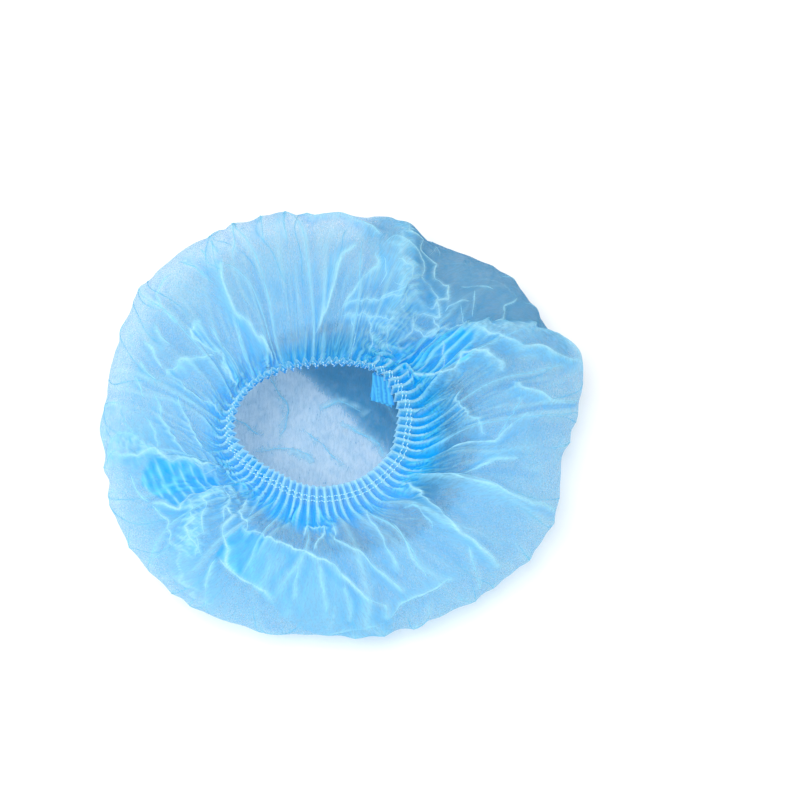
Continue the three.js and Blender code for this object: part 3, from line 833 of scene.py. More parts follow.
# How much longer the cloth is round the cap than the form it is held in, at some stations
SLACK_STATIONS = [1.0, 1.6, 2.0, 2.5, 3.0, 3.5, 4.0, 5.0]
SLACK = [1.0, 1.005, 1.01, 1.03, 1.09, 1.3, 1.7, 2.0]
SLACK_ALONG = 1.02
# How strongly each step holds the cloth to that form
HOLD_STATIONS = [1.0, 1.2, 1.6, 2.0, 3.0, 3.6, 4.0, 5.0]
HOLD = [0.7, 0.4, 0.04, 0.02, 0.02, 0.04, 0.12, 0.10]

ROUND = 640
RINGS = 140
# Rings stand closer together on the collar and hem: the share of them up to each station.
RING_SHARES = [0, 0.14, 0.49, 0.86, 1]
SETTLE_STEPS = 40
CLOTH_PULL = 0.9
SLANT_PULL = 0.25
STIFFNESS = 0.009


def settled_cloth():
    """The cloth from the floor line to the hem's edge: rings of points, and their paint."""
    station = np.interp(np.linspace(0, 1, RINGS), RING_SHARES, STATIONS[1:])
    azimuth = np.arange(ROUND) * 360 / ROUND
    station, azimuth = np.meshgrid(station, azimuth, indexing="ij")
    smooth = smooth_point(azimuth, station)
    normal = outward(azimuth, station)
    radius, _ = profile(azimuth, station)
    height, lean, *paint = relief(azimuth, station, radius)
    turned = np.radians(azimuth)
    around = np.stack([-np.sin(turned), np.cos(turned), 0 * turned], axis=-1)
    points = smooth + normal * height[..., None] + around * lean[..., None]
    base = points.copy()
    round_length, along_length = lengths_of(smooth)
    slack = np.interp(station, SLACK_STATIONS, SLACK)[..., None]
    hold = np.interp(station, HOLD_STATIONS, HOLD)[..., None]
    points = settle(points, base, round_length * slack, along_length * SLACK_ALONG, hold)
    return points, azimuth, station, paint


# Meshes
def add_mesh(name, points, faces, material, smooth=True):
    mesh = bpy.data.meshes.new(name)
    mesh.from_pydata((np.asarray(points) * MM).tolist(), [], faces)
    mesh.materials.append(material)
    mesh.polygons.foreach_set("use_smooth", [smooth] * len(mesh.polygons))
    mesh.update()
    piece = bpy.data.objects.new(name, mesh)
    scene.collection.objects.link(piece)
    return piece


def set_value(piece, name, values):
    attribute = piece.data.attributes.new(name, "FLOAT", "POINT")
    attribute.data.foreach_set("value", np.asarray(values, np.float32))


def set_flat(piece, x, y):
    """The cloth's own flat coordinates in metres, as a UV map that the weave follows."""
    layer = piece.data.uv_layers.new(name="flat")
    corner = np.zeros(len(piece.data.loops), int)
    piece.data.loops.foreach_get("vertex_index", corner)
    places = np.stack([np.ravel(x)[corner], np.ravel(y)[corner]], axis=-1) * MM
    layer.data.foreach_set("uv", places.ravel())


def grid_faces(rings, count, first=0):
    ring, i = np.meshgrid(np.arange(rings - 1), np.arange(count), indexing="ij")
    after = (i + 1) % count
    a = first + ring * count + i
    b = first + ring * count + after
    c = first + (ring + 1) * count + after
    d = first + (ring + 1) * count + i
    return np.stack([a, b, c, d], axis=-1).reshape(-1, 4).tolist()


REST_ROUND = 320
REST_RINGS = 24


def rest_disc():
    """The part of the crown that lies on the floor, without its outermost ring."""
    share = ((np.arange(REST_RINGS) + 1) / (REST_RINGS + 1)) ** 1.4
    station, azimuth = np.meshgrid(share, np.arange(REST_ROUND) * 360 / REST_ROUND, indexing="ij")
    return on_disc(azimuth, station), azimuth, station


def on_disc(azimuth, station):
    """Points of the crown where it lies on the floor."""
    place = smooth_point(azimuth, station)
    x, y = flat_place(azimuth, station)
    # Pleat lines from when the cap was folded flat, which run from one seal to the other.
    across = x * math.sin(math.radians(40)) - y * math.cos(math.radians(40))
    across = across + 2.5 * noise(x / 60, y / 60, 5.5)
    pleat = np.abs((across / 13) % 1 - 0.5) * 2
    lift = 1.5 * pleat + 1.6 * np.clip(noise(x / 38, y / 38, 1.5), 0, 1)
    lift = lift + 0.7 * (1 - np.abs(noise(x / 15, y / 15, 4.5)))
    place[..., 2] += lift * (1 - rise(0.85, 1.0, station))
    return place


DISC_LAYERS = 0.95
DISC_FOLD_LAYERS = 3.4
# Creases on the floor disc: how bright, and their places in mm from its middle
DISC_CREASES = [
    (0.25, [(-51, 44), (-44, 31), (-39, 14), (-40, 1), (-42, -8)]),
    (0.3, [(-74, 9), (-66, 5), (-54, -3)]),
    (0.6, [(-17, 17), (-5, 24), (5, 20), (13, 13)]),
    (0.5, [(-2, 5), (11, -1), (22, -10), (26, -20)]),
    (0.5, [(-54, -14), (-44, -12), (-31, -15), (-21, -21)]),
    (0.25, [(-28, 1), (-15, -10), (-1, -25)]),
    (0.3, [(19, 38), (26, 23), (32, 8)]),
]


def disc_paint(azimuth, station):
    """Layers, edges and shade of the floor disc. A fold lies across it on the side of the back seal."""
    turned = np.radians(azimuth)
    x = REST_RADIUS * station * np.cos(turned)
    y = REST_RADIUS * station * np.sin(turned)
    # How far a point is past the fold's line, which bows a little.
    along = x * math.cos(math.radians(-48)) + y * math.sin(math.radians(-48))
    past = x * math.sin(math.radians(48)) + y * math.cos(math.radians(48)) - 9 + 0.002 * along * along
    past = past + 5 * noise(along / 26, past / 60, 4.4)
    folded = rise(-3, 9, past)
    edge = np.zeros_like(x)
    moved = wobble(x, y, 70.5)
    for bright, places in DISC_CREASES:
        for (ax, ay), (bx, by) in zip(places[:-1], places[1:]):
            distance, _ = segment_reach(ax - x, ay - y, bx - x, by - y)
            edge = np.maximum(edge, 1.5 * bright * bell(distance + moved, 2.6))
    seen = 1 - rise(0.72, 0.95, station)
    fold = folded * seen
    return DISC_LAYERS + DISC_FOLD_LAYERS * fold, edge * seen, 0.72 + 0.28 * fold


# The flap at the front where the cloth lies double: stations of its edges at some azimuths
FLAP_TOP_AZIMUTHS = [237, 238, 249, 258, 264, 272, 276, 279, 282, 283]
FLAP_TOP = [1, 3.2, 3.17, 3.18, 3.1, 3.0, 2.75, 2.55, 2.3, 1]
FLAP_BOTTOM_AZIMUTHS = [238, 244, 250, 256, 262, 270]
FLAP_BOTTOM = [2.77, 2.7, 2.64, 2.45, 2.1, 1.8]
# How strongly the painted light and shade show that a point stands out, per mm
CREST_GAIN = 3.0


def cloth_faces():
    """A fan at the middle, the disc's rings, a ring that doubles the points, and the wall's rings."""
    faces = [(0, 1 + i, 1 + (i + 1) % REST_ROUND) for i in range(REST_ROUND)]
    faces += grid_faces(REST_RINGS, REST_ROUND, 1)
    last = 1 + (REST_RINGS - 1) * REST_ROUND
    first = 1 + REST_RINGS * REST_ROUND
    for i in range(REST_ROUND):
        after = (i + 1) % REST_ROUND
        outer = [first + (2 * i + k) % ROUND for k in range(3)]
        faces.append((last + i, outer[0], outer[1]))
        faces.append((last + i, outer[1], last + after))
        faces.append((last + after, outer[1], outer[2]))
    return faces + grid_faces(RINGS, ROUND, first)


def outward_normals(wall, azimuth, station):
    """Unit normals of the settled cloth, on the side where the smooth form faces out."""
    beside = np.roll(wall, -1, axis=1) - np.roll(wall, 1, axis=1)
    normal = np.cross(beside, np.gradient(wall, axis=0))
    normal /= np.linalg.norm(normal, axis=-1, keepdims=True) + 1e-9
    return normal * np.sign((normal * outward(azimuth, station)).sum(-1, keepdims=True))


def wall_paint(wall, normal, azimuth, station, paint):
    """Shade, layers, crest, edge and deepness at each point of the settled cloth."""
    painted_edge, face, doubled, beside_crease = paint
    # Painted light: where the cloth stands out it is painted lighter, as if it caught light, and its
    # hollows are painted in deeper blue shade.
    broad = wall.copy()
    for _ in range(6):
        broad += bend_of(broad) / 8
    crest = np.clip(((wall - broad) * normal).sum(-1) * CREST_GAIN, -1, 1)
    hem = rise(3.92, 4.0, station)
    near_hem = rise(3.35, 3.85, station + 0.12 * round_noise(azimuth, 9, 0.0, 51))
    spine = 0
    for valley in VALLEYS:
        off = np.abs(valley_offset(azimuth, valley, station)) - valley_width(valley, station)
        spine = spine + bell(off, RIDGE_WIDTH * 1.1) * rise(2.0, 2.6, station)
    # The cloth doubles back on itself in the valley at the back and in a flap at the front. The valley
    # is also painted in shade.
    offset = valley_offset(azimuth, VALLEYS[0], station)
    off = np.abs(offset) / valley_width(VALLEYS[0], station)
    off = off - np.where(offset > 0, 0.3, 0) * (1 - rise(2.05, 2.55, station))
    valley = (1 - rise(0.8, 1.0, off)) * rise(1.5, 2.0, station) * (1 - rise(2.75, 3.2, station))
    top = np.interp(azimuth, FLAP_TOP_AZIMUTHS, FLAP_TOP)
    bottom = np.interp(azimuth, FLAP_BOTTOM_AZIMUTHS, FLAP_BOTTOM)
    flap = rise(-0.02, 0.03, station - bottom) * (1 - rise(-0.02, 0.02, station - top))
    pleats = flap * (1 - rise(246, 256, azimuth))
    # Folded cloth lies deepest at the front and at the right of the stitching.
    front = bell(angle_between(azimuth, 256), 44)
    right = bell(angle_between(azimuth, 350), 40)
    deep = np.maximum(front, right) * rise(3.45, 3.7, station) * (1 - rise(3.92, 4.02, station))
    layers = 1 + 2.0 * near_hem + 1.6 * deep + 0.3 * hem + 0.7 * np.clip(spine, 0, 1)
    layers = layers + 1.7 * valley + 1.1 * flap
    layers = layers + 2.2 * np.maximum(face, 0.4 * pleats) + 1.6 * doubled
    deepness = near_hem * (1 - 0.5 * hem) + 0.2 * spine + face + 0.5 * pleats + deep
    return {
        "shade": np.maximum(0.9 * valley, 0.27 * beside_crease),
        "layers": layers,
        "crest": crest,
        # The frilled edge of the hem gets the painted edge: denser, with a painted highlight.
        "edge": np.maximum(painted_edge, 0.8 * rise(4.72, 4.95, station)),
        "deepness": np.clip(deepness, 0, 1),
    }


def cloth_mesh(material):
    """The whole cap as one sheet: a middle point, the disc on the floor, the wall and the hem."""
    disc, disc_azimuth, disc_station = rest_disc()
    wall, wall_azimuth, wall_station, paint = settled_cloth()
    centre = smooth_point(np.array([0.0]), np.array([0.0]))
    centre[0, 2] = disc[0, :, 2].mean()
    points = np.concatenate([centre, disc.reshape(-1, 3), wall.reshape(-1, 3)])
    azimuth = np.concatenate([[0], disc_azimuth.ravel(), wall_azimuth.ravel()])
    station = np.concatenate([[0], disc_station.ravel(), wall_station.ravel()])
    piece = add_mesh("cap_cloth", points, cloth_faces(), material)
    set_flat(piece, *flat_place(azimuth, station))
    normal = outward_normals(wall, wall_azimuth, wall_station)
    layers, edge, shade = disc_paint(disc_azimuth, disc_station)
    plain = np.zeros_like(disc_station)
    inner = {
        "shade": (shade[0].mean(), shade),
        "layers": (layers[0].mean(), layers),
        "crest": (0, plain),
        "edge": (0, edge),
        "deepness": (0, plain),
    }
    for name, values in wall_paint(wall, normal, wall_azimuth, wall_station, paint).items():
        middle, on_floor = inner[name]
        set_value(piece, name, np.concatenate([[middle], on_floor.ravel(), values.ravel()]))
    return piece, wall, normal, wall_station[:, 0]


# Materials of the cap. The colours of the cloth go from painted shade in its hollows to painted light
# on its crests, on the cloth, the hem and the seals; the painted edges of folds get a pale painted
# highlight.
CLOTH_HOLLOW_SHADE = (0.1, 0.54, 0.96, 1)
CLOTH_CREST_LIGHT = (0.34, 0.8, 1.0, 1)
CLOTH_SHADED = (0.08, 0.32, 0.53, 1)
HEM_HOLLOW_SHADE = (0.0, 0.44, 1.0, 1)
HEM_CREST_LIGHT = (0.1, 0.72, 1.0, 1)
PALE_HIGHLIGHT_AND_GRAIN = (0.6, 0.93, 1.0, 1)
SEAL_HOLLOW_SHADE = (0.0, 0.34, 0.86, 1)
THREAD_BLUE = (0.18, 0.7, 1.0, 1)
STITCH_PALE = (0.66, 0.93, 1.0, 1)
CLEAR_TINT = (0.88, 0.9, 0.92, 1)
LAYER_SHOWS_THROUGH = 0.66
EDGE_LAYERS = 2.2
# Which part of the noise the weave and its cloudy patches are taken from
WEAVE_SHIFT = (0.731, 0.417, 0.213)
PAINTS = ("layers", "crest", "edge", "deepness", "shade")


def cloth_material(name, see_through):
    """Sheer cloth: more of it in the way, as the layers attribute says, hides more."""
    nodes = Nodes(name)
    flat = nodes.add("ShaderNodeUVMap", uv_map="flat")
    flat = nodes.add("ShaderNodeMapping", {"Vector": flat, "Location": WEAVE_SHIFT}).outputs[0]
    layers, crest, edge, deepness, shade = (nodes.painted(paint) for paint in PAINTS)
    long_fibres = nodes.fibres(flat, 0.7, 0.33, 620.0, 0.65, 0.8)
    cross_fibres = nodes.fibres(flat, -0.8, 0.3, 540.0, 0.6, 0.6)
    cloud = nodes.add("ShaderNodeTexNoise", {"Vector": flat, "Scale": 130.0, "Detail": 2.0})
    both = nodes.math("MAXIMUM", long_fibres, cross_fibres)
    web = nodes.remap(both, 0.45, 0.72, 0.68, 1.4)
    patch = nodes.remap(cloud, 0.35, 0.65, 0.85, 1.15)
    density = nodes.math("MULTIPLY", web, patch)
    folded = {0: edge, 1: EDGE_LAYERS, 2: layers}
    folded = nodes.add("ShaderNodeMath", folded, operation="MULTIPLY_ADD")
    thick = nodes.math("MULTIPLY", density, folded)
    shows = nodes.math("POWER", see_through, thick)
    hides = nodes.math("SUBTRACT", 1.0, shows, clamp=True)
    # Painted light and shade: crests are painted lighter and hollows darker, then painted shade is
    # mixed in where the shade attribute says.
    lit = nodes.remap(crest, -0.7, 0.9)
    plain = nodes.mix(lit.outputs[0], CLOTH_HOLLOW_SHADE, CLOTH_CREST_LIGHT)
    rich = nodes.mix(lit.outputs[0], HEM_HOLLOW_SHADE, HEM_CREST_LIGHT)
    colour = nodes.mix(deepness, plain, rich)
    colour = nodes.mix(shade, colour, CLOTH_SHADED)
    # Painted highlight: the painted edges of folds turn pale, less so where shade is painted.
    lightened = nodes.math("SUBTRACT", 0.9, nodes.math("MULTIPLY", shade, 0.3))
    colour = nodes.mix(nodes.math("MULTIPLY", edge, lightened), colour, PALE_HIGHLIGHT_AND_GRAIN)
    bump = nodes.add("ShaderNodeBump", {"Height": both, "Strength": 0.25, "Distance": 0.0004})
    top = nodes.add("ShaderNodeBsdfDiffuse", {"Color": colour, "Normal": bump})
    under = nodes.add("ShaderNodeBsdfTranslucent", {"Color": colour, "Normal": bump})
    cloth = nodes.add("ShaderNodeMixShader", {0: 0.4, 1: top, 2: under})
    clear = nodes.add("ShaderNodeBsdfTransparent", {"Color": CLEAR_TINT})
    shader = nodes.add("ShaderNodeMixShader", {0: hides, 1: clear, 2: cloth})
    return nodes.finish(shader)


def pressed_material(name):
    nodes = Nodes(name)
    crest = nodes.painted("crest")
    grain = nodes.add("ShaderNodeTexNoise", {"Scale": 700.0, "Detail": 3.0})
    # Painted light and shade from the crest attribute: lighter ribs, darker hollows and dots; the grain
    # adds pale specks.
    lit = nodes.remap(crest, -0.9, 1.0)
    tone = nodes.mix(lit.outputs[0], SEAL_HOLLOW_SHADE, HEM_CREST_LIGHT)
    tone = nodes.mix(nodes.math("MULTIPLY", grain.outputs[0], 0.12), tone, PALE_HIGHLIGHT_AND_GRAIN)
    gloss = nodes.add("ShaderNodeBsdfPrincipled", {"Base Color": tone, "Roughness": 0.5})
    under = nodes.add("ShaderNodeBsdfTranslucent", {"Color": tone})
    shader = nodes.add("ShaderNodeMixShader", {0: 0.25, 1: gloss, 2: under})
    return nodes.finish(shader)


def plain_material(name, colour, roughness):
    nodes = Nodes(name)
    grain = nodes.add("ShaderNodeTexNoise", {"Scale": 900.0, "Detail": 2.0})
    darker = tuple(0.86 * c for c in colour[:3]) + (1,)
    tone = nodes.mix(grain.outputs[0], colour, darker)
    shader = nodes.add("ShaderNodeBsdfPrincipled", {"Base Color": tone, "Roughness": roughness})
    return nodes.finish(shader)


cloth_look = cloth_material("nonwoven", LAYER_SHOWS_THROUGH)
thread_look = plain_material("elastic", THREAD_BLUE, 0.6)
stitch_look = plain_material("stitching", STITCH_PALE, 0.6)
seal_look = pressed_material("pressed_cloth")

cap_cloth, wall, wall_normal, wall_stations = cloth_mesh(cloth_look)
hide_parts("crown", "hem_frill")
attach(cap_cloth, "root")


# Crisp edges: along each crease and gather the cloth is pinched into a narrow fin
FIN_WIDTH = 1.15
FIN_HEIGHT = 0.55
FIN_STEP = 1.0
FIN_LAYERS = 2.2
FIN_DEEPNESS = 0.25
# Only the folds from the hem that are brighter than this get a fin
FIN_BRIGHTNESS = 0.3


def at_place(grid, azimuth, station):
    """Values of a grid of the settled cloth at any places on it."""
    column = (azimuth % 360) * ROUND / 360
    row = np.interp(station, wall_stations, np.arange(RINGS))
    left = np.floor(column).astype(int)
    low = np.minimum(np.floor(row).astype(int), RINGS - 2)
    across = (column - left)[:, None]
    up = (row - low)[:, None]
    left = left % ROUND
    right = (left + 1) % ROUND
    near = grid[low, left] * (1 - across) + grid[low, right] * across
    far = grid[low + 1, left] * (1 - across) + grid[low + 1, right] * across
    return near * (1 - up) + far * up


def crease_line(places):
    """Azimuths and stations close together along a chosen crease, with its wobble."""
    azimuths = [places[0][0]]
    for before, after in zip(places[:-1], places[1:]):
        azimuths.append(azimuths[-1] + angle_between(after[0], before[0]))
    azimuths = np.array(azimuths, float)
    stations = np.array([place[1] for place in places], float)
    runs = path_length(stations)
    radius, _ = profile(azimuths, stations)
    steps = np.hypot(np.radians(np.diff(azimuths)) * (radius[1:] + radius[:-1]) / 2, np.diff(runs))
    passed = np.concatenate([[0], np.cumsum(steps)])
    marks = np.linspace(0, passed[-1], max(6, int(passed[-1] / FIN_STEP)))
    azimuth = np.interp(marks, passed, azimuths)
    run = np.interp(marks, passed, runs)
    radius = np.interp(marks, passed, radius)
    moved_azimuth, moved_run = azimuth, run
    for _ in range(3):
        x, y = flat_place(moved_azimuth, station_along(moved_run))
        moved_azimuth = azimuth - np.degrees(wobble(x, y, 40.5) / radius)
        moved_run = run - wobble(x, y, 44.5)
    return moved_azimuth, np.clip(station_along(moved_run), 1.02, 4.98)


def fold_line(at, drift, ends):
    """Azimuths and stations along a fold that runs out from the hem."""
    out = np.linspace(0.05, 1.0, 60)
    station = 4 - out * (4 - ends)
    azimuth = at + drift * out * out + (1 + 3 * out) * noise(station * 1.9, at * 0.71)
    return azimuth, station


def gather_line(number):
    """Azimuths and stations along one gather, from the collar over the stitching to the edge."""
    middle = number * 360 / GATHERS
    start = 3.86 + 0.07 * round_noise(np.array([middle]), 30, 0.0, 77)[0]
    station = np.linspace(start, 4.97, 22)
    azimuth = np.full_like(station, middle)
    for _ in range(6):
        drift = 0.9 * round_noise(azimuth, 22, station * 0.5, 5)
        azimuth = middle - np.degrees(2.2 * drift / GATHERS)
    return azimuth, station


def disc_line(places):
    """Azimuths and stations close together along a crease on the floor disc."""
    places = np.array(places, float)
    steps = np.hypot(*np.diff(places, axis=0).T)
    passed = np.concatenate([[0], np.cumsum(steps)])
    marks = np.linspace(0, passed[-1], int(passed[-1] / FIN_STEP))
    x = np.interp(marks, passed, places[:, 0])
    y = np.interp(marks, passed, places[:, 1])
    x, y = x + 2.5 * noise(x / 14, y / 14, 70.5), y + 2.5 * noise(x / 14, y / 14, 74.5)
    return np.degrees(np.arctan2(y, x)) % 360, np.hypot(x, y) / REST_RADIUS


def fin_lines():
    """Azimuths, stations, brightness and size of each fin."""
    lines = [(*crease_line(places), bright, 1.0) for _, bright, _, places in CREASES]
    lines += [(*disc_line(places), 0.6 * bright, 0.85) for bright, places in DISC_CREASES]
    for at, drift, ends, _, _, _, bright in RADIAL_FOLDS:
        if bright > FIN_BRIGHTNESS:
            lines.append((*fold_line(at, drift, ends), bright, 0.65))
    for at, drift, start, end, _, _, bright in BELLY_FOLDS:
        station = np.linspace(start + 0.05, end - 0.05, 50)
        _, azimuth = belly_line(at, drift, start, end, station)
        lines.append((azimuth, station, bright, 0.65))
    for number in range(GATHERS):
        lines.append((*gather_line(number), 0.85, 0.9))
    return lines


def fin(azimuth, station, size):
    """Points of one fin, three across, with how full it is and its flat place at each step."""
    if station.max() < 1:
        line = on_disc(azimuth, station)
        up = np.tile([0.0, 0.0, 1.0], (len(line), 1))
    else:
        line = at_place(wall, azimuth, station)
        up = at_place(wall_normal, azimuth, station)
    along = np.gradient(line, axis=0)
    along /= np.linalg.norm(along, axis=1, keepdims=True) + 1e-9
    side = np.cross(along, up)
    side /= np.linalg.norm(side, axis=1, keepdims=True) + 1e-9
    x, y = flat_place(azimuth, station)
    share = np.linspace(0, 1, len(line))
    ends = rise(0, 0.16, share) * rise(0, 0.16, 1 - share)
    full = size * ends * np.clip(0.85 + 0.7 * noise(x / 11, y / 11, 48.5), 0.35, 1)
    half = side * (FIN_WIDTH / 2 * full)[:, None]
    foot = line - up * 0.1
    top = line + up * (FIN_HEIGHT * full)[:, None]
    points = np.stack([foot + half, top, foot - half], axis=1).reshape(-1, 3)
    return points, full, np.stack([x, y], axis=-1)


def add_fold_edges():
    points = []
    faces = []
    flat = []
    edge = []
    first = 0
    for azimuth, station, bright, size in fin_lines():
        made, full, place = fin(azimuth, station, size)
        points.append(made)
        flat.append(np.repeat(place, 3, axis=0))
        edge.append(np.repeat(bright * (0.4 + 0.6 * full), 3))
        for a in range(first, first + len(made) - 3, 3):
            faces.append((a, a + 3, a + 4, a + 1))
            faces.append((a + 1, a + 4, a + 5, a + 2))
        first = first + len(made)
    piece = add_mesh("fold_edges", np.concatenate(points), faces, cloth_look)
    set_flat(piece, *np.concatenate(flat).T)
    set_value(piece, "layers", np.full(first, FIN_LAYERS))
    # The fins are painted as fully lit crests, and their edge value paints a pale highlight on them.
    set_value(piece, "crest", np.ones(first))
    set_value(piece, "edge", np.concatenate(edge))
    set_value(piece, "deepness", np.full(first, FIN_DEEPNESS))
    set_value(piece, "shade", np.zeros(first))
    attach(piece, "root")
    return piece


# Elastic threads and stitches on the hem
FIRST_THREAD = 1.8
SECOND_THREAD = 4.6
THREAD_RADIUS = 0.3
THREAD_LIFT = 0.25
STITCH_PITCH = 2.5
STITCH_LENGTH = 1.4
STITCH_RADIUS = 0.36
STITCH_LIFT = 0.4
ROUND_SIDES = 6


def row_on_cloth(distance, lift, smoothing):
    """A closed line on the outer side of the hem, at a distance from the stitching's start."""
    at = np.interp(4 + distance / HEM_WIDTH, wall_stations, np.arange(len(wall_stations)))
    low = int(at)
    part = at - low
    line = wall[low] * (1 - part) + wall[low + 1] * part
    for _ in range(smoothing):
        line = line * 0.5 + (np.roll(line, 1, axis=0) + np.roll(line, -1, axis=0)) * 0.25
    azimuth = np.arange(len(line)) * 360 / len(line)
    away = outward(azimuth, np.full(len(line), 4 + distance / HEM_WIDTH))
    return line + away * lift, away


def tube(line, away, radius, sides=ROUND_SIDES):
    """Points and faces of a closed tube along a line."""
    along = np.roll(line, -1, axis=0) - np.roll(line, 1, axis=0)
    along /= np.linalg.norm(along, axis=1, keepdims=True)
    across = np.cross(along, away)
    across /= np.linalg.norm(across, axis=1, keepdims=True)
    up = np.cross(across, along)
    turn = np.arange(sides) * 2 * math.pi / sides
    rings = line[:, None] + radius * (
        up[:, None] * np.cos(turn)[None, :, None] + across[:, None] * np.sin(turn)[None, :, None]
    )
    count = len(line)
    faces = []
    for i in range(count):
        after = (i + 1) % count
        for k in range(sides):
            beside = (k + 1) % sides
            faces.append((i * sides + k, i * sides + beside, after * sides + beside, after * sides + k))
    return rings.reshape(-1, 3), faces


def add_thread(name, distance, node):
    line, away = row_on_cloth(distance, THREAD_LIFT, 3)
    points, faces = tube(line, away, THREAD_RADIUS)
    piece = add_mesh(name, points, faces, thread_look)
    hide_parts(node)
    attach(piece, "root")
    return piece


def add_stitches(name, distance, lift):
    """Short stitches end to end along the row, each a small rounded bar."""
    line, away = row_on_cloth(distance, lift, 1)
    steps = np.linalg.norm(np.roll(line, -1, axis=0) - line, axis=1)
    run = np.concatenate([[0], np.cumsum(steps)])
    closed = np.concatenate([line, line[:1]])
    closed_away = np.concatenate([away, away[:1]])
    count = int(run[-1] / STITCH_PITCH)
    points = []
    faces = []
    shares = np.array([0.0, 0.12, 0.5, 0.88, 1.0])
    thickness = np.array([0.15, 0.85, 1.0, 0.85, 0.15]) * STITCH_RADIUS
    sides = ROUND_SIDES
    for number in range(count):
        places = number * STITCH_PITCH + shares * STITCH_LENGTH
        middle = np.stack([np.interp(places, run, closed[:, k]) for k in range(3)], axis=-1)
        up = np.array([np.interp(places[2], run, closed_away[:, k]) for k in range(3)])
        along = middle[-1] - middle[0]
        along /= np.linalg.norm(along)
        across = np.cross(along, up)
        across /= np.linalg.norm(across)
        up = np.cross(across, along)
        first = len(points)
        for centre, thick in zip(middle, thickness):
            for k in range(sides):
                turn = k * 2 * math.pi / sides
                points.append(centre + thick * (up * math.cos(turn) + across * math.sin(turn)))
        for ring in range(len(shares) - 1):
            for k in range(sides):
                a = first + ring * sides + k
                b = first + ring * sides + (k + 1) % sides
                faces.append((a, b, b + sides, a + sides))
        faces.append(tuple(first + k for k in reversed(range(sides))))
        faces.append(tuple(first + (len(shares) - 1) * sides + k for k in range(sides)))
    piece = add_mesh(name, points, faces, stitch_look)
    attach(piece, "root")
    return piece


# The pressed ends of the pleats: a few leaves of cloth welded together by rows of dots
BACK_SEAL = 48.5
FRONT_SEAL = 211
SEAL_WIDTH = 16
SEAL_LENGTH = 20
SEAL_SLOPE = 22
SEAL_STATION = 4.25
SEAL_INSET = 3.5
LEAF_GAP = 0.8
LEAF_THICKNESS = 0.35
LEAF_ROWS = 41
LEAF_COLUMNS = 25
# How far each leaf is swung sideways, how far in it lies and its length as a share of the seal's
LEAVES = [(-20, 0.0, 1.0), (-25, LEAF_GAP, 0.93), (-15, -LEAF_GAP, 0.96)]
# Welded dots, as shares of a leaf's length and width
DOT_ROWS = (0.42, 0.56, 0.70, 0.84)
DOT_COLUMNS = (-0.16, 0.2)
DOT_RADIUS = 1.1
DOT_DEPTH = 0.35


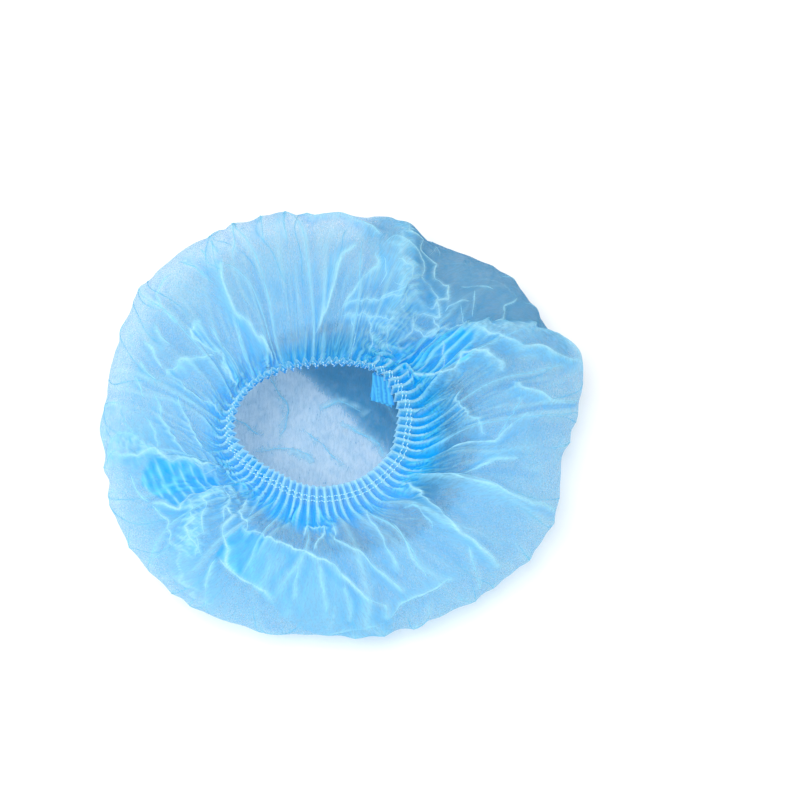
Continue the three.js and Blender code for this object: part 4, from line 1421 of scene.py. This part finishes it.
def seal_leaf(root, azimuth, swing, depth, length, order):
    """Points and faces of one leaf. swing turns it sideways and depth is how far in it lies."""
    rows, columns = LEAF_ROWS, LEAF_COLUMNS
    down, side = np.meshgrid(np.linspace(0, 1, rows), np.linspace(-0.5, 0.5, columns), indexing="ij")
    rib = 0.3 * saw(side * 4 + order * 0.3 + 0.2 * noise(side * 3, down * 3, order))
    curl = 1.6 * (side + 0.1) ** 2 * down * (1 - 2 * (order % 2)) * 2
    dots = 0
    for row in DOT_ROWS:
        for column in DOT_COLUMNS:
            gap = np.hypot((down - row) * SEAL_LENGTH, (side - column) * SEAL_WIDTH)
            dots = dots + bell(gap, DOT_RADIUS)
    lift = rib + curl - DOT_DEPTH * dots
    turned = math.radians(azimuth)
    lean = math.radians(SEAL_SLOPE)
    inward = np.array([-math.cos(turned), -math.sin(turned), 0])
    beside = np.array([-math.sin(turned), math.cos(turned), 0])
    drop = inward * math.sin(lean) - np.array([0, 0, 1]) * math.cos(lean)
    face = inward * math.cos(lean) + np.array([0, 0, 1]) * math.sin(lean)
    swung = math.radians(swing)
    run = drop * math.cos(swung) + beside * math.sin(swung)
    wide = beside * math.cos(swung) - drop * math.sin(swung)
    edge = 0.35 * noise(side * 5, down * 5, 7 + order)
    middle = (
        root
        + run * (down * length)[..., None]
        + wide * (side * (SEAL_WIDTH + edge) * (0.86 + 0.14 * down))[..., None]
        + face * (depth + lift)[..., None]
    )
    front = (middle + face * LEAF_THICKNESS / 2).reshape(-1, 3)
    rear = (middle - face * LEAF_THICKNESS / 2).reshape(-1, 3)
    size = rows * columns
    faces = []
    for i in range(rows - 1):
        for j in range(columns - 1):
            a = i * columns + j
            faces.append((a, a + columns, a + columns + 1, a + 1))
            faces.append((size + a, size + a + 1, size + a + columns + 1, size + a + columns))
    rim = list(range(columns))
    rim += [i * columns + columns - 1 for i in range(1, rows)]
    rim += [(rows - 1) * columns + j for j in range(columns - 2, -1, -1)]
    rim += [i * columns for i in range(rows - 2, 0, -1)]
    for k, a in enumerate(rim):
        b = rim[(k + 1) % len(rim)]
        faces.append((a, b, size + b, size + a))
    # Painted light: the ribs are painted lighter, their hollows and the pressed dots in painted shade.
    crest = np.tile(np.clip(rib * 3 - dots, -1, 1).ravel(), 2)
    return np.concatenate([front, rear]), faces, crest


def add_seal(name, azimuth, node):
    place = (np.array([float(azimuth)]), np.array([SEAL_STATION]))
    root = (smooth_point(*place) - SEAL_INSET * outward(*place))[0]
    points = []
    faces = []
    crest = []
    for order, (swing, depth, share) in enumerate(LEAVES):
        made = seal_leaf(root, azimuth, swing, depth, SEAL_LENGTH * share, order)
        first = sum(len(part) for part in points)
        points.append(made[0])
        faces += [tuple(first + k for k in face) for face in made[1]]
        crest.append(made[2])
    piece = add_mesh(name, np.concatenate(points), faces, seal_look)
    set_value(piece, "crest", np.concatenate(crest))
    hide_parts(node)
    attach(piece, "root")
    return piece


hem_pieces = [
    add_thread("elastic_thread_1", FIRST_THREAD, "elastic_outer"),
    add_thread("elastic_thread_2", SECOND_THREAD, "elastic_inner"),
    add_stitches("stitches_1", FIRST_THREAD, STITCH_LIFT),
    add_stitches("stitches_2", SECOND_THREAD, STITCH_LIFT),
    add_stitches("inner_stitches_1", FIRST_THREAD, -STITCH_LIFT),
    add_stitches("inner_stitches_2", SECOND_THREAD, -STITCH_LIFT),
    add_fold_edges(),
    add_seal("pressed_seal_back", BACK_SEAL, "end_seal_back"),
    add_seal("pressed_seal_front", FRONT_SEAL, "end_seal_front"),
]
